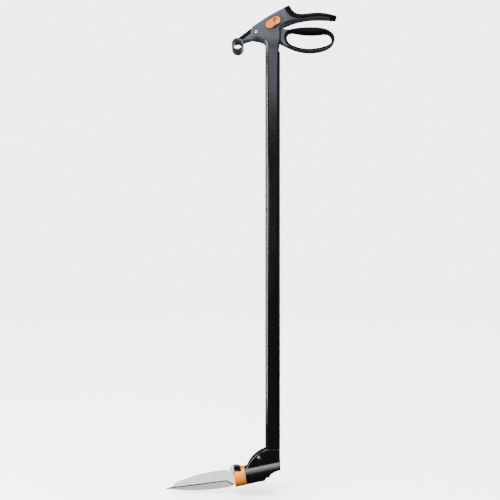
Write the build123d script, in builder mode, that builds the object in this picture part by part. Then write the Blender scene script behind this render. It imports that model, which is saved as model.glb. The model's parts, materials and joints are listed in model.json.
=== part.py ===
from build123d import *
import math
import os

# Long-handled grass shears, closed and locked, blades upright.
# Millimetres. Origin: centre of the hanging eye. +Z up, -X towards the blade
# tips, +Y through the eye. A trigger loop pulls a rod up the pole; a bell
# crank at the foot turns that pull through a right angle and draws a plunger
# back along the cutter axis, which swings the upper blade shut.

os.makedirs("parts", exist_ok=True)

# ---- driving dimensions -------------------------------------------------
# hanging eye and its arm
EYE_R = 13.2
EYE_BORE_R = 9.6
EYE_LENGTH = 36.0
ARM_HALF = 8.5

# head shells
HEAD_HALF = 15.0
HEAD_WALL = 3.0
HANDLE_HALF = 11.5
HEAD_FOOT_Z = -16.0

# pole: a rounded rectangular tube
POLE_X = 76.2
POLE_WIDE = 32.5
POLE_DEEP = 22.0
POLE_ROUND = 8.0
POLE_WALL = 1.6
POLE_FRONT_X = POLE_X - POLE_WIDE / 2
POLE_BACK_X = POLE_X + POLE_WIDE / 2
POLE_TOP_Z = HEAD_FOOT_Z
POLE_FOOT_Z = -876.0
SPIGOT_LENGTH = 40.0
SPIGOT_GAP = 0.1
SPIGOT_WIDE = POLE_WIDE - 2 * (POLE_WALL + SPIGOT_GAP)
SPIGOT_DEEP = POLE_DEEP - 2 * (POLE_WALL + SPIGOT_GAP)
SPIGOT_ROUND = POLE_ROUND - POLE_WALL

# clearances shared by several joints, and the depth of a cut that goes right through
RUNNING = 0.05
OPEN_PIVOT_GAP = 0.4
SIDE_GAP = 0.3
THROUGH = 20.0

# trigger
TRIGGER_X, TRIGGER_Z = 40.5, 26.7
TRIGGER_RANGE = 14.0
LEVER_HALF = 4.0
LEVER_BOSS_R = 9.6
LEVER_ROOM_R = 10.2
ROOT_HALF = 8.0
PAD_HALF = 10.0
PAD_LENGTH = 88.0
LINING = 3.0
RIVET_R = 2.6
RIVET_HEAD_R = 3.8
RIVET_SEAT_R = 4.6
RIVET_SEAT = 1.2
RIVET_HEAD_TALL = 1.5
RIVET_ROUND = 1.1
PRESS_FIT = 0.01

# pull rod
ROD_R = 2.5
ROD_PIN_R = 2.5
ROD_REACH = POLE_X - TRIGGER_X
ROD_TOP_RISE = ROD_REACH * math.tan(math.radians(TRIGGER_RANGE / 2))
ROD_TRAVEL = ROD_REACH * math.radians(TRIGGER_RANGE)
CLEVIS_HALF = 7.0
FOOT_CLEVIS_HALF = 6.5
CLEVIS_EYE_R = 6.0
CLEVIS_WIDE = 9.0
TOP_CLEVIS_LENGTH = 30.0
FOOT_CLEVIS_LENGTH = 28.0
ROD_TOP_DROP = 22.0
ROD_FOOT_RISE = 19.0
ROD_SOCKET = 9.0
CRANK_ARM_HALF = 3.0
GUIDE_Z = -64.0
GUIDE_LENGTH = 10.0
SPRING_LENGTH = 52.0
SPRING_COLLAR_R = 6.5
SPRING_COLLAR_LENGTH = 5.0

# cutter axis: leans down towards the blades
TILT = 11.7
AXIS_X, AXIS_Z = 18.55, -934.95
COS_T = math.cos(math.radians(TILT))
SIN_T = math.sin(math.radians(TILT))
HOUSING_R = 19.6
HOUSING_LENGTH = 90.0
GUSSET_HALF = 10.8
GUSSET_CAVITY = 7.8
BORE_R = 13.0
COLLAR_R = 19.9
COLLAR_BORE_R = 16.2
COLLAR_LENGTH = 28.0
CARRIER_R = 16.0

# bell crank and plunger, placed along (s) and above (h) the cutter axis
CRANK_S, CRANK_H = 35.7, 34.7
CRANK_REACH = POLE_X - (AXIS_X + CRANK_S * COS_T - CRANK_H * SIN_T)
CRANK_SWING = ROD_TRAVEL / CRANK_REACH
PLUNGER_TRAVEL = CRANK_H * CRANK_SWING
PLUNGER_R = 4.0
SPOOL_R = 7.0
FINGER_R = 3.0
GROOVE_HALF = 3.35
CRANK_BOSS_R = 5.4
CRANK_BUSH_R = 3.8
CRANK_ROOM = 0.5

# blades
BLADE_PIVOT_S, BLADE_PIVOT_H = -20.0, 11.75
BLADE_THICK = 2.5
BLADE_GAP = 0.06
HUB_R = 16.0
BOLT_R = 4.0
DRIVE_PIN_R = 2.0
DRIVE_PIN_S = BLADE_PIVOT_S + PLUNGER_TRAVEL / 2


def on_axis(s, h):
    """Point at distance s up the cutter axis from the collar's rear face, h above it."""
    return (AXIS_X + s * COS_T - h * SIN_T, AXIS_Z + s * SIN_T + h * COS_T)


def axis_plane(s):
    """Plane across the cutter axis at distance s; its Y direction points up."""
    x, z = on_axis(s, 0)
    return Plane(origin=(x, 0, z), x_dir=(0, -1, 0), z_dir=(COS_T, 0, SIN_T))


def side_plane(x, z, y=0.0):
    """Upright plane facing the near side (-Y), with its origin at x, z."""
    return Plane(origin=(x, y, z), x_dir=(1, 0, 0), z_dir=(0, -1, 0))


def axis_side_plane(y=0.0):
    """Upright plane whose X runs up the cutter axis and whose Y is height above it."""
    return Plane(origin=(AXIS_X, y, AXIS_Z), x_dir=(COS_T, 0, SIN_T), z_dir=(0, -1, 0))


SIDE = side_plane(0, 0)
AXIS_SIDE = axis_side_plane()
CRANK_X, CRANK_Z = on_axis(CRANK_S, CRANK_H)
BLADE_X, BLADE_Z = on_axis(BLADE_PIVOT_S, BLADE_PIVOT_H)
ROD_TOP_Z = TRIGGER_Z + ROD_TOP_RISE
CRANK_RISE = CRANK_REACH * math.tan(CRANK_SWING / 2)
ROD_FOOT_Z = CRANK_Z + CRANK_RISE
SPOOL_S = CRANK_S + PLUNGER_TRAVEL / 2

# ---- outlines -----------------------------------------------------------
# head and upper handle, seen from the near side
with BuildSketch() as head_outline:
    with BuildLine():
        nose = ThreePointArc((41.5, 14.3), (28.1, 26.0), (31.5, 39.4))
        brow = ThreePointArc((31.5, 39.4), (66.0, 62.3), (108.0, 84.0))
        horn = Line((108.0, 84.0), (112.6, 85.0))
        saddle = Spline((112.6, 85.0), (118.6, 76.4), (127.6, 70.6), (138.5, 69.3), (170.0, 71.6),
                        (192.0, 70.0), (207.0, 67.0), tangents=((0.2, -1.0), (1.0, -0.22)))
        tail = ThreePointArc((207.0, 67.0), (215.4, 62.6), (213.4, 58.4))
        belly = Spline((213.4, 58.4), (185.0, 58.9), (158.0, 58.3), (137.0, 55.0), (119.0, 50.4),
                       (104.0, 46.0), tangents=((-1.0, 0.0), (-1.0, -0.36)))
        throat = ThreePointArc((104.0, 46.0), (95.2, 41.0), (POLE_BACK_X, 31.0))
        back = Line((POLE_BACK_X, 31.0), (POLE_BACK_X, HEAD_FOOT_Z))
        foot = Line((POLE_BACK_X, HEAD_FOOT_Z), (POLE_FRONT_X, HEAD_FOOT_Z))
        front = Line((POLE_FRONT_X, HEAD_FOOT_Z), (POLE_FRONT_X, -3.0))
        neck = ThreePointArc((POLE_FRONT_X, -3.0), (54.3, 9.3), (41.5, 14.3))
    make_face()

# arm of the hanging eye, from the eye to the inside of the shells
with BuildSketch() as arm_outline:
    with BuildLine():
        Polyline((-7.2, 9.6), (31.6, 38.8), (44.0, 37.0), (49.0, 30.0), (49.0, 20.0), (41.0, 15.2),
                 (31.0, 13.6), (22.0, 11.2), (9.0, 7.6), (-7.2, 9.6))
    make_face()

# trigger loop, outside and inside; its left end is straight, at the back of the pole
with BuildSketch() as loop_outline:
    with BuildLine():
        Spline((92.2, 37.6), (103.0, 36.2), (112.0, 35.6), (124.0, 38.0), (142.0, 40.0), (162.0, 40.4),
               (181.0, 39.0), (197.0, 34.4), (208.0, 25.5), (211.2, 13.5), (206.0, 1.2), (192.0, -7.4),
               (175.0, -11.8), (157.0, -13.2), (140.0, -11.8), (124.0, -7.6), (108.0, -0.6), (92.2, 7.2))
        Line((92.2, 7.2), (92.2, 37.6))
    make_face()
LOOP_POINTS = [(107.0, 17.0), (108.4, 24.4), (112.6, 29.2), (120.0, 30.6), (130.0, 29.2), (142.0, 27.4),
               (158.0, 26.4), (174.0, 26.8), (188.0, 28.4), (196.4, 27.6), (203.0, 22.6), (205.2, 13.0),
               (200.0, 4.4), (188.0, -1.2), (172.0, -5.0), (154.0, -6.7), (136.0, -4.6), (119.0, 1.0),
               (110.0, 7.4)]


def grown(points, distance):
    """The points of a clockwise outline moved outwards by a distance."""
    moved = []
    for i, (x, z) in enumerate(points):
        before = points[i - 1]
        after = points[(i + 1) % len(points)]
        run = Vector(after[0] - before[0], after[1] - before[1], 0).normalized()
        moved.append((x - run.Y * distance, z + run.X * distance))
    return moved


with BuildSketch() as loop_opening:
    with BuildLine():
        Spline(*LOOP_POINTS, periodic=True)
    make_face()
with BuildSketch() as loop_seat:
    with BuildLine():
        Spline(*grown(LOOP_POINTS, LINING), periodic=True)
    make_face()

# ---- hanging eye --------------------------------------------------------
with BuildPart() as hanging_eye_arm:
    with BuildSketch(SIDE):
        add(arm_outline.sketch)
    extrude(amount=ARM_HALF, both=True)
    with BuildSketch(SIDE):
        Circle(EYE_R)
    extrude(amount=EYE_LENGTH / 2, both=True)
    with BuildSketch(SIDE):
        Circle(EYE_BORE_R)
    extrude(amount=EYE_LENGTH, both=True, mode=Mode.SUBTRACT)
    # slot for the lever's boss, and the rivet's hole
    with BuildSketch(side_plane(TRIGGER_X, TRIGGER_Z)):
        Circle(LEVER_ROOM_R)
        with Locations((10.0, 0)):
            Rectangle(20.0, 26.0)
    extrude(amount=LEVER_HALF + SIDE_GAP, both=True, mode=Mode.SUBTRACT)
    with BuildSketch(side_plane(TRIGGER_X, TRIGGER_Z)):
        Circle(RIVET_R)
    extrude(amount=EYE_LENGTH, both=True, mode=Mode.SUBTRACT)
    # seat of the soft strip along the top
    with BuildSketch(SIDE):
        with BuildLine():
            Polyline((7.2, 11.8), (30.2, 28.8), (29.2, 37.4), (2.3, 17.2), (7.2, 11.8))
        make_face()
    extrude(amount=ARM_HALF, both=True, mode=Mode.SUBTRACT)
hanging_eye_arm.part.label = "hanging_eye_arm"
export_step(hanging_eye_arm.part, "parts/hanging_eye_arm.step")

with BuildPart() as arm_strip:
    with BuildSketch(SIDE):
        with BuildLine():
            Polyline((7.4, 12.1), (29.9, 28.8), (28.2, 38.2), (0.6, 17.6), (7.4, 12.1))
        make_face()
    extrude(amount=ARM_HALF + 0.6, both=True)
    with BuildSketch(SIDE):
        Circle(EYE_R)
    extrude(amount=EYE_LENGTH, both=True, mode=Mode.SUBTRACT)
    fillet(arm_strip.edges().filter_by(Plane.XZ).group_by(Axis.Y)[0], 1.5)
    fillet(arm_strip.edges().filter_by(Plane.XZ).group_by(Axis.Y)[-1], 1.5)
arm_strip.part = arm_strip.part - hanging_eye_arm.part
arm_strip.part.label = "arm_strip"
export_step(arm_strip.part, "parts/arm_strip.step")

# ---- head shells --------------------------------------------------------
# One closed form, hollowed, then split down the middle.
SCREW_PLACES = [(54.0, 44.0), (66.0, 8.0), (98.0, 72.0), (196.0, 64.6)]
SCREW_R = 1.6
SCREW_HEAD_R = 3.4
SCREW_HEAD_FIT = 0.2
SCREW_SEAT = 2.5
SCREW_HEAD_TALL = 2.0
HANDLE_SCREW_LENGTH = 14.0
LOWER_SCREW_LENGTH = 12.0

with BuildPart() as head_form:
    with BuildSketch(SIDE):
        add(head_outline.sketch)
    extrude(amount=HEAD_HALF, both=True)
    # the handle is slimmer than the body; the two blend behind the horn
    with BuildSketch(Plane.XY):
        with BuildLine():
            Line((0, -HEAD_HALF), (100.0, -HEAD_HALF))
            Spline((100.0, -HEAD_HALF), (128.0, -HANDLE_HALF), tangents=((1, 0), (1, 0)))
            Line((128.0, -HANDLE_HALF), (230.0, -HANDLE_HALF))
            Line((230.0, -HANDLE_HALF), (230.0, HANDLE_HALF))
            Line((230.0, HANDLE_HALF), (128.0, HANDLE_HALF))
            Spline((128.0, HANDLE_HALF), (100.0, HEAD_HALF), tangents=((-1, 0), (-1, 0)))
            Line((100.0, HEAD_HALF), (0, HEAD_HALF))
            Line((0, HEAD_HALF), (0, -HEAD_HALF))
        make_face()
    extrude(amount=120.0, both=True, mode=Mode.INTERSECT)

with BuildPart() as head_spigot:
    with BuildSketch(Plane.XY.offset(HEAD_FOOT_Z)):
        with Locations((POLE_X, 0)):
            RectangleRounded(SPIGOT_WIDE, SPIGOT_DEEP, SPIGOT_ROUND)
    extrude(amount=-SPIGOT_LENGTH)

with BuildPart() as head_hollow:
    # main room round the lever, the lock and the head of the rod
    with BuildSketch(SIDE):
        with BuildLine():
            Polyline((50.0, 19.0), (58.0, 12.0), (62.0, 2.0), (62.0, -13.0), (88.4, -13.0), (88.4, 32.0),
                     (92.5, 42.0), (101.0, 48.5), (101.0, 75.0), (88.0, 70.5), (66.0, 58.5),
                     (50.0, 48.0), (50.0, 19.0))
        make_face()
    extrude(amount=HEAD_HALF - HEAD_WALL, both=True)
    # round the lever's boss
    with BuildSketch(side_plane(TRIGGER_X, TRIGGER_Z)):
        Circle(LEVER_ROOM_R)
        with Locations((8.0, 0)):
            Rectangle(16.0, 22.0)
    extrude(amount=LEVER_HALF + SIDE_GAP, both=True)
    # handle
    with BuildSketch(SIDE):
        with BuildLine():
            Polyline((118.0, 54.5), (137.0, 59.0), (160.0, 62.0), (190.0, 62.2), (190.0, 66.5),
                     (160.0, 67.0), (137.0, 65.5), (122.0, 66.5), (112.0, 74.0), (109.0, 60.0),
                     (109.0, 52.5), (118.0, 54.5))
        make_face()
    extrude(amount=HANDLE_HALF - HEAD_WALL - 1.0, both=True)
    # way down the spigot for the rod
    with BuildSketch(Plane.XY.offset(HEAD_FOOT_Z + 5.0)):
        with Locations((POLE_X, 0)):
            RectangleRounded(20.0, 2 * CLEVIS_HALF + 1.2, 3.0)
    extrude(amount=-SPIGOT_LENGTH - 20.0)
    # way out at the back for the lever's root
    with BuildSketch(SIDE):
        with BuildLine():
            Polyline((84.0, 38.4), (84.0, -13.4), (95.0, -13.4), (95.0, 38.4), (84.0, 38.4))
        make_face()
    extrude(amount=ROOT_HALF + 0.5, both=True)
    with BuildSketch(SIDE):
        with BuildLine():
            Polyline((84.0, 30.0), (104.0, 30.0), (104.0, 49.0), (84.0, 49.0), (84.0, 30.0))
        make_face()
    extrude(amount=LEVER_HALF + 2 * SIDE_GAP, both=True)
    # rivet
    with BuildSketch(side_plane(TRIGGER_X, TRIGGER_Z)):
        Circle(RIVET_R)
    extrude(amount=2 * HEAD_HALF, both=True)
    with BuildSketch(side_plane(TRIGGER_X, TRIGGER_Z, -HEAD_HALF)):
        Circle(RIVET_SEAT_R)
    extrude(amount=-RIVET_SEAT)
    with BuildSketch(side_plane(TRIGGER_X, TRIGGER_Z, HEAD_HALF)):
        Circle(RIVET_SEAT_R)
    extrude(amount=RIVET_SEAT)

# lock track in the near shell
LOCK_X, LOCK_Z = 76.4, 45.8
LOCK_ANGLE = 30.8
LOCK_TRAVEL = 7.2
LOCK_LENGTH = 34.0
LOCK_WIDE = 16.8
LOCK_PROUD = 4.5
LOCK_SLOT_WIDE = 6.6
LOCK_NECK_LENGTH, LOCK_NECK_WIDE = 9.0, 6.0
LOCK_PEG_R = 2.5
LOCK_PEG_LENGTH = 14.0
LOCK_GAP = 0.1
THUMB_AT, THUMB_LENGTH, THUMB_WIDE, THUMB_DEPTH = 7.6, 14.0, 11.6, 1.2
LOCK_DIR = (math.cos(math.radians(LOCK_ANGLE)), math.sin(math.radians(LOCK_ANGLE)))


def lock_plane(y, along=0.0):
    """Upright plane at the lock button, its X running along the button's travel."""
    origin = (LOCK_X + along * LOCK_DIR[0], y, LOCK_Z + along * LOCK_DIR[1])
    return Plane(origin=origin, x_dir=(LOCK_DIR[0], 0, LOCK_DIR[1]), z_dir=(0, -1, 0))


with BuildPart() as lock_track:
    with BuildSketch(lock_plane(-HEAD_HALF, LOCK_TRAVEL / 2)):
        SlotOverall(LOCK_TRAVEL + LOCK_NECK_LENGTH + 1.0, LOCK_SLOT_WIDE)
    extrude(amount=-HEAD_WALL - 1.0)

# seat of the soft grip: the skin of the saddle and the handle's top
with BuildSketch() as grip_band:
    with BuildLine():
        Spline((114.0, 86.4), (120.0, 77.6), (128.8, 71.9), (139.0, 70.4), (170.0, 72.7), (192.0, 71.1),
               (207.0, 68.2), tangents=((0.2, -1.0), (1.0, -0.22)))
        Line((207.0, 68.2), (224.0, 72.0))
        Line((224.0, 72.0), (224.0, 54.0))
        Line((224.0, 54.0), (211.0, 54.0))
        Line((211.0, 54.0), (206.0, 63.0))
        Spline((206.0, 63.0), (192.0, 66.0), (170.0, 67.6), (138.0, 65.0), (124.0, 66.4), (113.6, 73.6),
               (108.2, 82.0), tangents=((-1.0, 0.22), (-0.2, 1.0)))
        Line((108.2, 82.0), (114.0, 86.4))
    make_face()

with BuildPart() as grip_zone:
    with BuildSketch(SIDE):
        add(grip_band.sketch)
    extrude(amount=HEAD_HALF + 2, both=True)

with BuildPart() as screw_holes:
    for x, z in SCREW_PLACES:
        with BuildSketch(side_plane(x, z, HEAD_HALF + 1)):
            Circle(SCREW_R)
        extrude(amount=HEAD_HALF + 10)
        with BuildSketch(side_plane(x, z, HEAD_HALF)):
            Circle(SCREW_HEAD_R)
        extrude(amount=HEAD_HALF - HANDLE_HALF + SCREW_SEAT)

head_solid = head_form.part + head_spigot.part - head_hollow.part - grip_zone.part
head_solid = head_solid - hanging_eye_arm.part - arm_strip.part - screw_holes.part

with BuildPart() as handle_shell_left:
    add(head_solid)
    split(bisect_by=Plane.XZ, keep=Keep.TOP)
    add(lock_track.part, mode=Mode.SUBTRACT)
handle_shell_left.part.label = "handle_shell_left"
export_step(handle_shell_left.part, "parts/handle_shell_left.step")

with BuildPart() as handle_shell_right:
    add(head_solid)
    split(bisect_by=Plane.XZ, keep=Keep.BOTTOM)
handle_shell_right.part.label = "handle_shell_right"
export_step(handle_shell_right.part, "parts/handle_shell_right.step")

with BuildPart() as handle_grip:
    add(head_form.part)
    add(grip_zone.part, mode=Mode.INTERSECT)
handle_grip.part = handle_grip.part - screw_holes.part
handle_grip.part.label = "handle_grip"
export_step(handle_grip.part, "parts/handle_grip.step")

with BuildPart() as handle_screws:
    for x, z in SCREW_PLACES:
        with BuildSketch(side_plane(x, z, HANDLE_HALF - SCREW_SEAT + SCREW_HEAD_TALL)):
            Circle(SCREW_HEAD_R - SCREW_HEAD_FIT)
        extrude(amount=SCREW_HEAD_TALL)
        with BuildSketch(side_plane(x, z, HANDLE_HALF - SCREW_SEAT)):
            Circle(SCREW_R)
        extrude(amount=HANDLE_SCREW_LENGTH)
handle_screws.part.label = "handle_screws"
export_step(handle_screws.part, "parts/handle_screws.step")

with BuildPart() as trigger_rivet:
    with BuildSketch(side_plane(TRIGGER_X, TRIGGER_Z)):
        Circle(RIVET_R - PRESS_FIT)
    extrude(amount=HEAD_HALF - RIVET_SEAT, both=True)
    for side in (-1, 1):
        with BuildSketch(side_plane(TRIGGER_X, TRIGGER_Z, side * (HEAD_HALF - RIVET_SEAT))):
            Circle(RIVET_HEAD_R)
        extrude(amount=-RIVET_HEAD_TALL * side)
    fillet(trigger_rivet.edges().filter_by(GeomType.CIRCLE).group_by(Axis.Y)[0], RIVET_ROUND)
    fillet(trigger_rivet.edges().filter_by(GeomType.CIRCLE).group_by(Axis.Y)[-1], RIVET_ROUND)
trigger_rivet.part.label = "trigger_rivet"
export_step(trigger_rivet.part, "parts/trigger_rivet.step")

# ---- lock ---------------------------------------------------------------
with BuildPart() as lock_button:
    with BuildSketch(lock_plane(-HEAD_HALF - LOCK_GAP)):
        SlotOverall(LOCK_LENGTH, LOCK_WIDE)
    extrude(amount=LOCK_PROUD)
    chamfer(lock_button.faces().sort_by(Axis.Y)[0].edges(), 1.2)
    # thumb hollow on the right half, leaving a ridge across the middle
    with BuildSketch(lock_plane(-HEAD_HALF - LOCK_PROUD - LOCK_GAP)):
        with Locations((THUMB_AT, 0)):
            SlotOverall(THUMB_LENGTH, THUMB_WIDE)
    extrude(amount=-THUMB_DEPTH, mode=Mode.SUBTRACT)
lock_button.part.label = "lock_button"
export_step(lock_button.part, "parts/lock_button.step")

with BuildPart() as lock_bolt:
    with BuildSketch(lock_plane(-HEAD_HALF - LOCK_GAP)):
        SlotOverall(LOCK_NECK_LENGTH, LOCK_NECK_WIDE)
    extrude(amount=-HEAD_WALL - SIDE_GAP - LOCK_GAP)
    with BuildSketch(lock_plane(-HEAD_HALF + HEAD_WALL + SIDE_GAP)):
        Circle(LOCK_PEG_R)
    extrude(amount=-LOCK_PEG_LENGTH)
lock_bolt.part.label = "lock_bolt"
export_step(lock_bolt.part, "parts/lock_bolt.step")

# ---- trigger lever ------------------------------------------------------
with BuildPart() as trigger_lever:
    # loop frame with a strong root; the upper bar is only a core inside the pad
    with BuildSketch(SIDE):
        add(loop_outline.sketch)
        add(loop_seat.sketch, mode=Mode.SUBTRACT)
        with Locations((156.0, 33.0)):
            Rectangle(PAD_LENGTH, 30.0, mode=Mode.SUBTRACT)
    extrude(amount=ROOT_HALF, both=True)
    # flat arm inside the head, back to the rivet
    with BuildSketch(SIDE):
        with BuildLine():
            Polyline((40.5, 35.2), (62.0, 37.4), (86.5, 37.0), (86.5, 55.0), (80.0, 55.0), (80.0, 58.0),
                     (90.5, 58.0), (90.5, 37.6), (93.0, 37.6), (93.0, 18.0), (75.0, 23.5),
                     (60.0, 20.0), (40.5, 18.2), (40.5, 35.2))
        make_face()
        with Locations((TRIGGER_X, TRIGGER_Z)):
            Circle(LEVER_BOSS_R)
    extrude(amount=LEVER_HALF, both=True)
    with BuildSketch(side_plane(TRIGGER_X, TRIGGER_Z)):
        Circle(RIVET_R + RUNNING)
        with Locations((ROD_REACH, ROD_TOP_RISE)):
            Circle(ROD_PIN_R + OPEN_PIVOT_GAP)
    extrude(amount=THROUGH, both=True, mode=Mode.SUBTRACT)
    with BuildSketch(SIDE):
        with BuildLine():
            Polyline((110.0, 34.9), (124.0, 36.2), (142.0, 37.0), (162.0, 37.2), (181.0, 36.0),
                     (201.0, 30.6), (201.0, 28.4), (194.0, 32.2), (180.0, 31.6), (160.0, 30.6),
                     (140.0, 31.8), (126.0, 34.0), (112.0, 33.4), (110.0, 32.6), (110.0, 34.9))
        make_face()
    extrude(amount=5.0, both=True)
trigger_lever.part.label = "trigger_lever"
export_step(trigger_lever.part, "parts/trigger_lever.step")

# soft lining of the loop, thick over the upper bar
with BuildPart() as trigger_grip:
    with BuildSketch(SIDE):
        add(loop_seat.sketch)
        add(loop_opening.sketch, mode=Mode.SUBTRACT)
    extrude(amount=ROOT_HALF, both=True)
    with BuildSketch(SIDE):
        add(loop_outline.sketch)
        with Locations((156.0, 33.0)):
            Rectangle(PAD_LENGTH, 30.0, mode=Mode.INTERSECT)
        add(loop_opening.sketch, mode=Mode.SUBTRACT)
    extrude(amount=PAD_HALF, both=True)
trigger_grip.part = trigger_grip.part - trigger_lever.part
trigger_grip.part.label = "trigger_grip"
export_step(trigger_grip.part, "parts/trigger_grip.step")

# ---- pull rod -----------------------------------------------------------
with BuildPart() as rod_top_clevis:
    with BuildSketch(side_plane(POLE_X, ROD_TOP_Z)):
        Circle(CLEVIS_EYE_R)
        with Locations((0, -TOP_CLEVIS_LENGTH / 2)):
            Rectangle(CLEVIS_WIDE, TOP_CLEVIS_LENGTH)
    extrude(amount=CLEVIS_HALF, both=True)
    with BuildSketch(side_plane(POLE_X, ROD_TOP_Z)):
        with Locations((0, -1.0)):
            Rectangle(40.0, 27.0)
    extrude(amount=LEVER_HALF + SIDE_GAP, both=True, mode=Mode.SUBTRACT)
    with BuildSketch(side_plane(POLE_X, ROD_TOP_Z)):
        Circle(ROD_PIN_R)
    extrude(amount=THROUGH, both=True, mode=Mode.SUBTRACT)
    with BuildSketch(Plane.XY.offset(ROD_TOP_Z - ROD_TOP_DROP - ROD_SOCKET)):
        with Locations((POLE_X, 0)):
            Circle(ROD_R)
    extrude(amount=ROD_SOCKET, mode=Mode.SUBTRACT)
rod_top_clevis.part.label = "rod_top_clevis"
export_step(rod_top_clevis.part, "parts/rod_top_clevis.step")

with BuildPart() as rod_top_pin:
    with BuildSketch(side_plane(POLE_X, ROD_TOP_Z)):
        Circle(ROD_PIN_R)
    extrude(amount=CLEVIS_HALF, both=True)
rod_top_pin.part.label = "rod_top_pin"
export_step(rod_top_pin.part, "parts/rod_top_pin.step")

with BuildPart() as rod_foot_clevis:
    with BuildSketch(side_plane(POLE_X, ROD_FOOT_Z)):
        Circle(CLEVIS_EYE_R)
        with Locations((0, FOOT_CLEVIS_LENGTH / 2)):
            Rectangle(CLEVIS_WIDE, FOOT_CLEVIS_LENGTH)
    extrude(amount=FOOT_CLEVIS_HALF, both=True)
    with BuildSketch(side_plane(POLE_X, ROD_FOOT_Z)):
        with Locations((0, 0.5)):
            Rectangle(40.0, 18.0)
    extrude(amount=CRANK_ARM_HALF + OPEN_PIVOT_GAP, both=True, mode=Mode.SUBTRACT)
    with BuildSketch(side_plane(POLE_X, ROD_FOOT_Z)):
        Circle(ROD_PIN_R)
    extrude(amount=THROUGH, both=True, mode=Mode.SUBTRACT)
    with BuildSketch(Plane.XY.offset(ROD_FOOT_Z + ROD_FOOT_RISE)):
        with Locations((POLE_X, 0)):
            Circle(ROD_R)
    extrude(amount=FOOT_CLEVIS_LENGTH - ROD_FOOT_RISE + 3.0, mode=Mode.SUBTRACT)
rod_foot_clevis.part.label = "rod_foot_clevis"
export_step(rod_foot_clevis.part, "parts/rod_foot_clevis.step")

with BuildPart() as rod_foot_pin:
    with BuildSketch(side_plane(POLE_X, ROD_FOOT_Z)):
        Circle(ROD_PIN_R)
    extrude(amount=FOOT_CLEVIS_HALF, both=True)
rod_foot_pin.part.label = "rod_foot_pin"
export_step(rod_foot_pin.part, "parts/rod_foot_pin.step")

with BuildPart() as pull_rod:
    with BuildSketch(Plane.XY.offset(ROD_FOOT_Z + ROD_FOOT_RISE)):
        with Locations((POLE_X, 0)):
            Circle(ROD_R)
    extrude(amount=ROD_TOP_Z - ROD_TOP_DROP - ROD_FOOT_Z - ROD_FOOT_RISE)
pull_rod.part.label = "pull_rod"
export_step(pull_rod.part, "parts/pull_rod.step")

# guides that keep the rod straight; the upper one is the spring's seat
GUIDE_PLACES = {"upper_rod_guide": GUIDE_Z, "middle_rod_guide": -330.0, "lower_rod_guide": -610.0}
for guide_name, guide_z in GUIDE_PLACES.items():
    with BuildPart() as rod_guide:
        with BuildSketch(Plane.XY.offset(guide_z)):
            with Locations((POLE_X, 0)):
                RectangleRounded(SPIGOT_WIDE, SPIGOT_DEEP, SPIGOT_ROUND)
                Circle(ROD_R + RUNNING, mode=Mode.SUBTRACT)
        extrude(amount=-GUIDE_LENGTH)
    rod_guide.part.label = guide_name
    export_step(rod_guide.part, f"parts/{guide_name}.step")

SPRING_TOP_Z = GUIDE_Z - GUIDE_LENGTH
with BuildPart() as spring_collar:
    with BuildSketch(Plane.XY.offset(SPRING_TOP_Z - SPRING_LENGTH)):
        with Locations((POLE_X, 0)):
            Circle(SPRING_COLLAR_R)
            Circle(ROD_R, mode=Mode.SUBTRACT)
    extrude(amount=-SPRING_COLLAR_LENGTH)
spring_collar.part.label = "spring_collar"
export_step(spring_collar.part, "parts/spring_collar.step")

SPRING_TURNS = 9
SPRING_WIRE = 0.8
SPRING_MEAN_R = 4.6
SPRING_SEAT_GAP = 0.2
SPRING_PITCH = (SPRING_LENGTH - 2 * SPRING_WIRE - 2 * SPRING_SEAT_GAP) / SPRING_TURNS
SPRING_START_Z = SPRING_TOP_Z - SPRING_LENGTH + SPRING_WIRE + SPRING_SEAT_GAP
with BuildPart() as return_spring:
    with BuildLine():
        Helix(SPRING_PITCH, SPRING_PITCH * SPRING_TURNS, SPRING_MEAN_R, center=(POLE_X, 0, SPRING_START_Z))
    with BuildSketch(Plane(origin=(POLE_X + SPRING_MEAN_R, 0, SPRING_START_Z), z_dir=(0, 1, 0.2))):
        Circle(SPRING_WIRE)
    sweep(is_frenet=True)
return_spring.part.label = "return_spring"
export_step(return_spring.part, "parts/return_spring.step")

# ---- pole ---------------------------------------------------------------
with BuildPart() as pole_tube:
    with BuildSketch(Plane.XY.offset(POLE_FOOT_Z)):
        with Locations((POLE_X, 0)):
            RectangleRounded(POLE_WIDE, POLE_DEEP, POLE_ROUND)
            RectangleRounded(POLE_WIDE - 2 * POLE_WALL, POLE_DEEP - 2 * POLE_WALL,
                             POLE_ROUND - POLE_WALL, mode=Mode.SUBTRACT)
    extrude(amount=POLE_TOP_Z - POLE_FOOT_Z)
pole_tube.part.label = "pole_tube"
export_step(pole_tube.part, "parts/pole_tube.step")

# ---- lower housing ------------------------------------------------------
HEEL_LINE = [(57.5, -946.9), (63.1, -934.4), (68.2, -934.6), (72.0, -926.8), (79.7, -921.9),
             (POLE_BACK_X, -917.3)]
with BuildSketch() as gusset_outline:
    with BuildLine():
        ThreePointArc((POLE_FRONT_X, -878.0), (30.1, -898.7), (19.0, -918.4))
        Polyline((19.0, -918.4), on_axis(0.5, 0.0), on_axis(30.0, -10.0), (62.0, -936.0),
                 (POLE_BACK_X, -917.3), (POLE_BACK_X, POLE_FOOT_Z),
                 (POLE_FRONT_X, POLE_FOOT_Z), (POLE_FRONT_X, -878.0))
    make_face()
with BuildSketch() as heel_cut:
    with BuildLine():
        Polyline((57.5, -990.0), *HEEL_LINE, (POLE_BACK_X, -850.0), (120.0, -850.0), (120.0, -990.0),
                 (57.5, -990.0))
    make_face()

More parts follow.
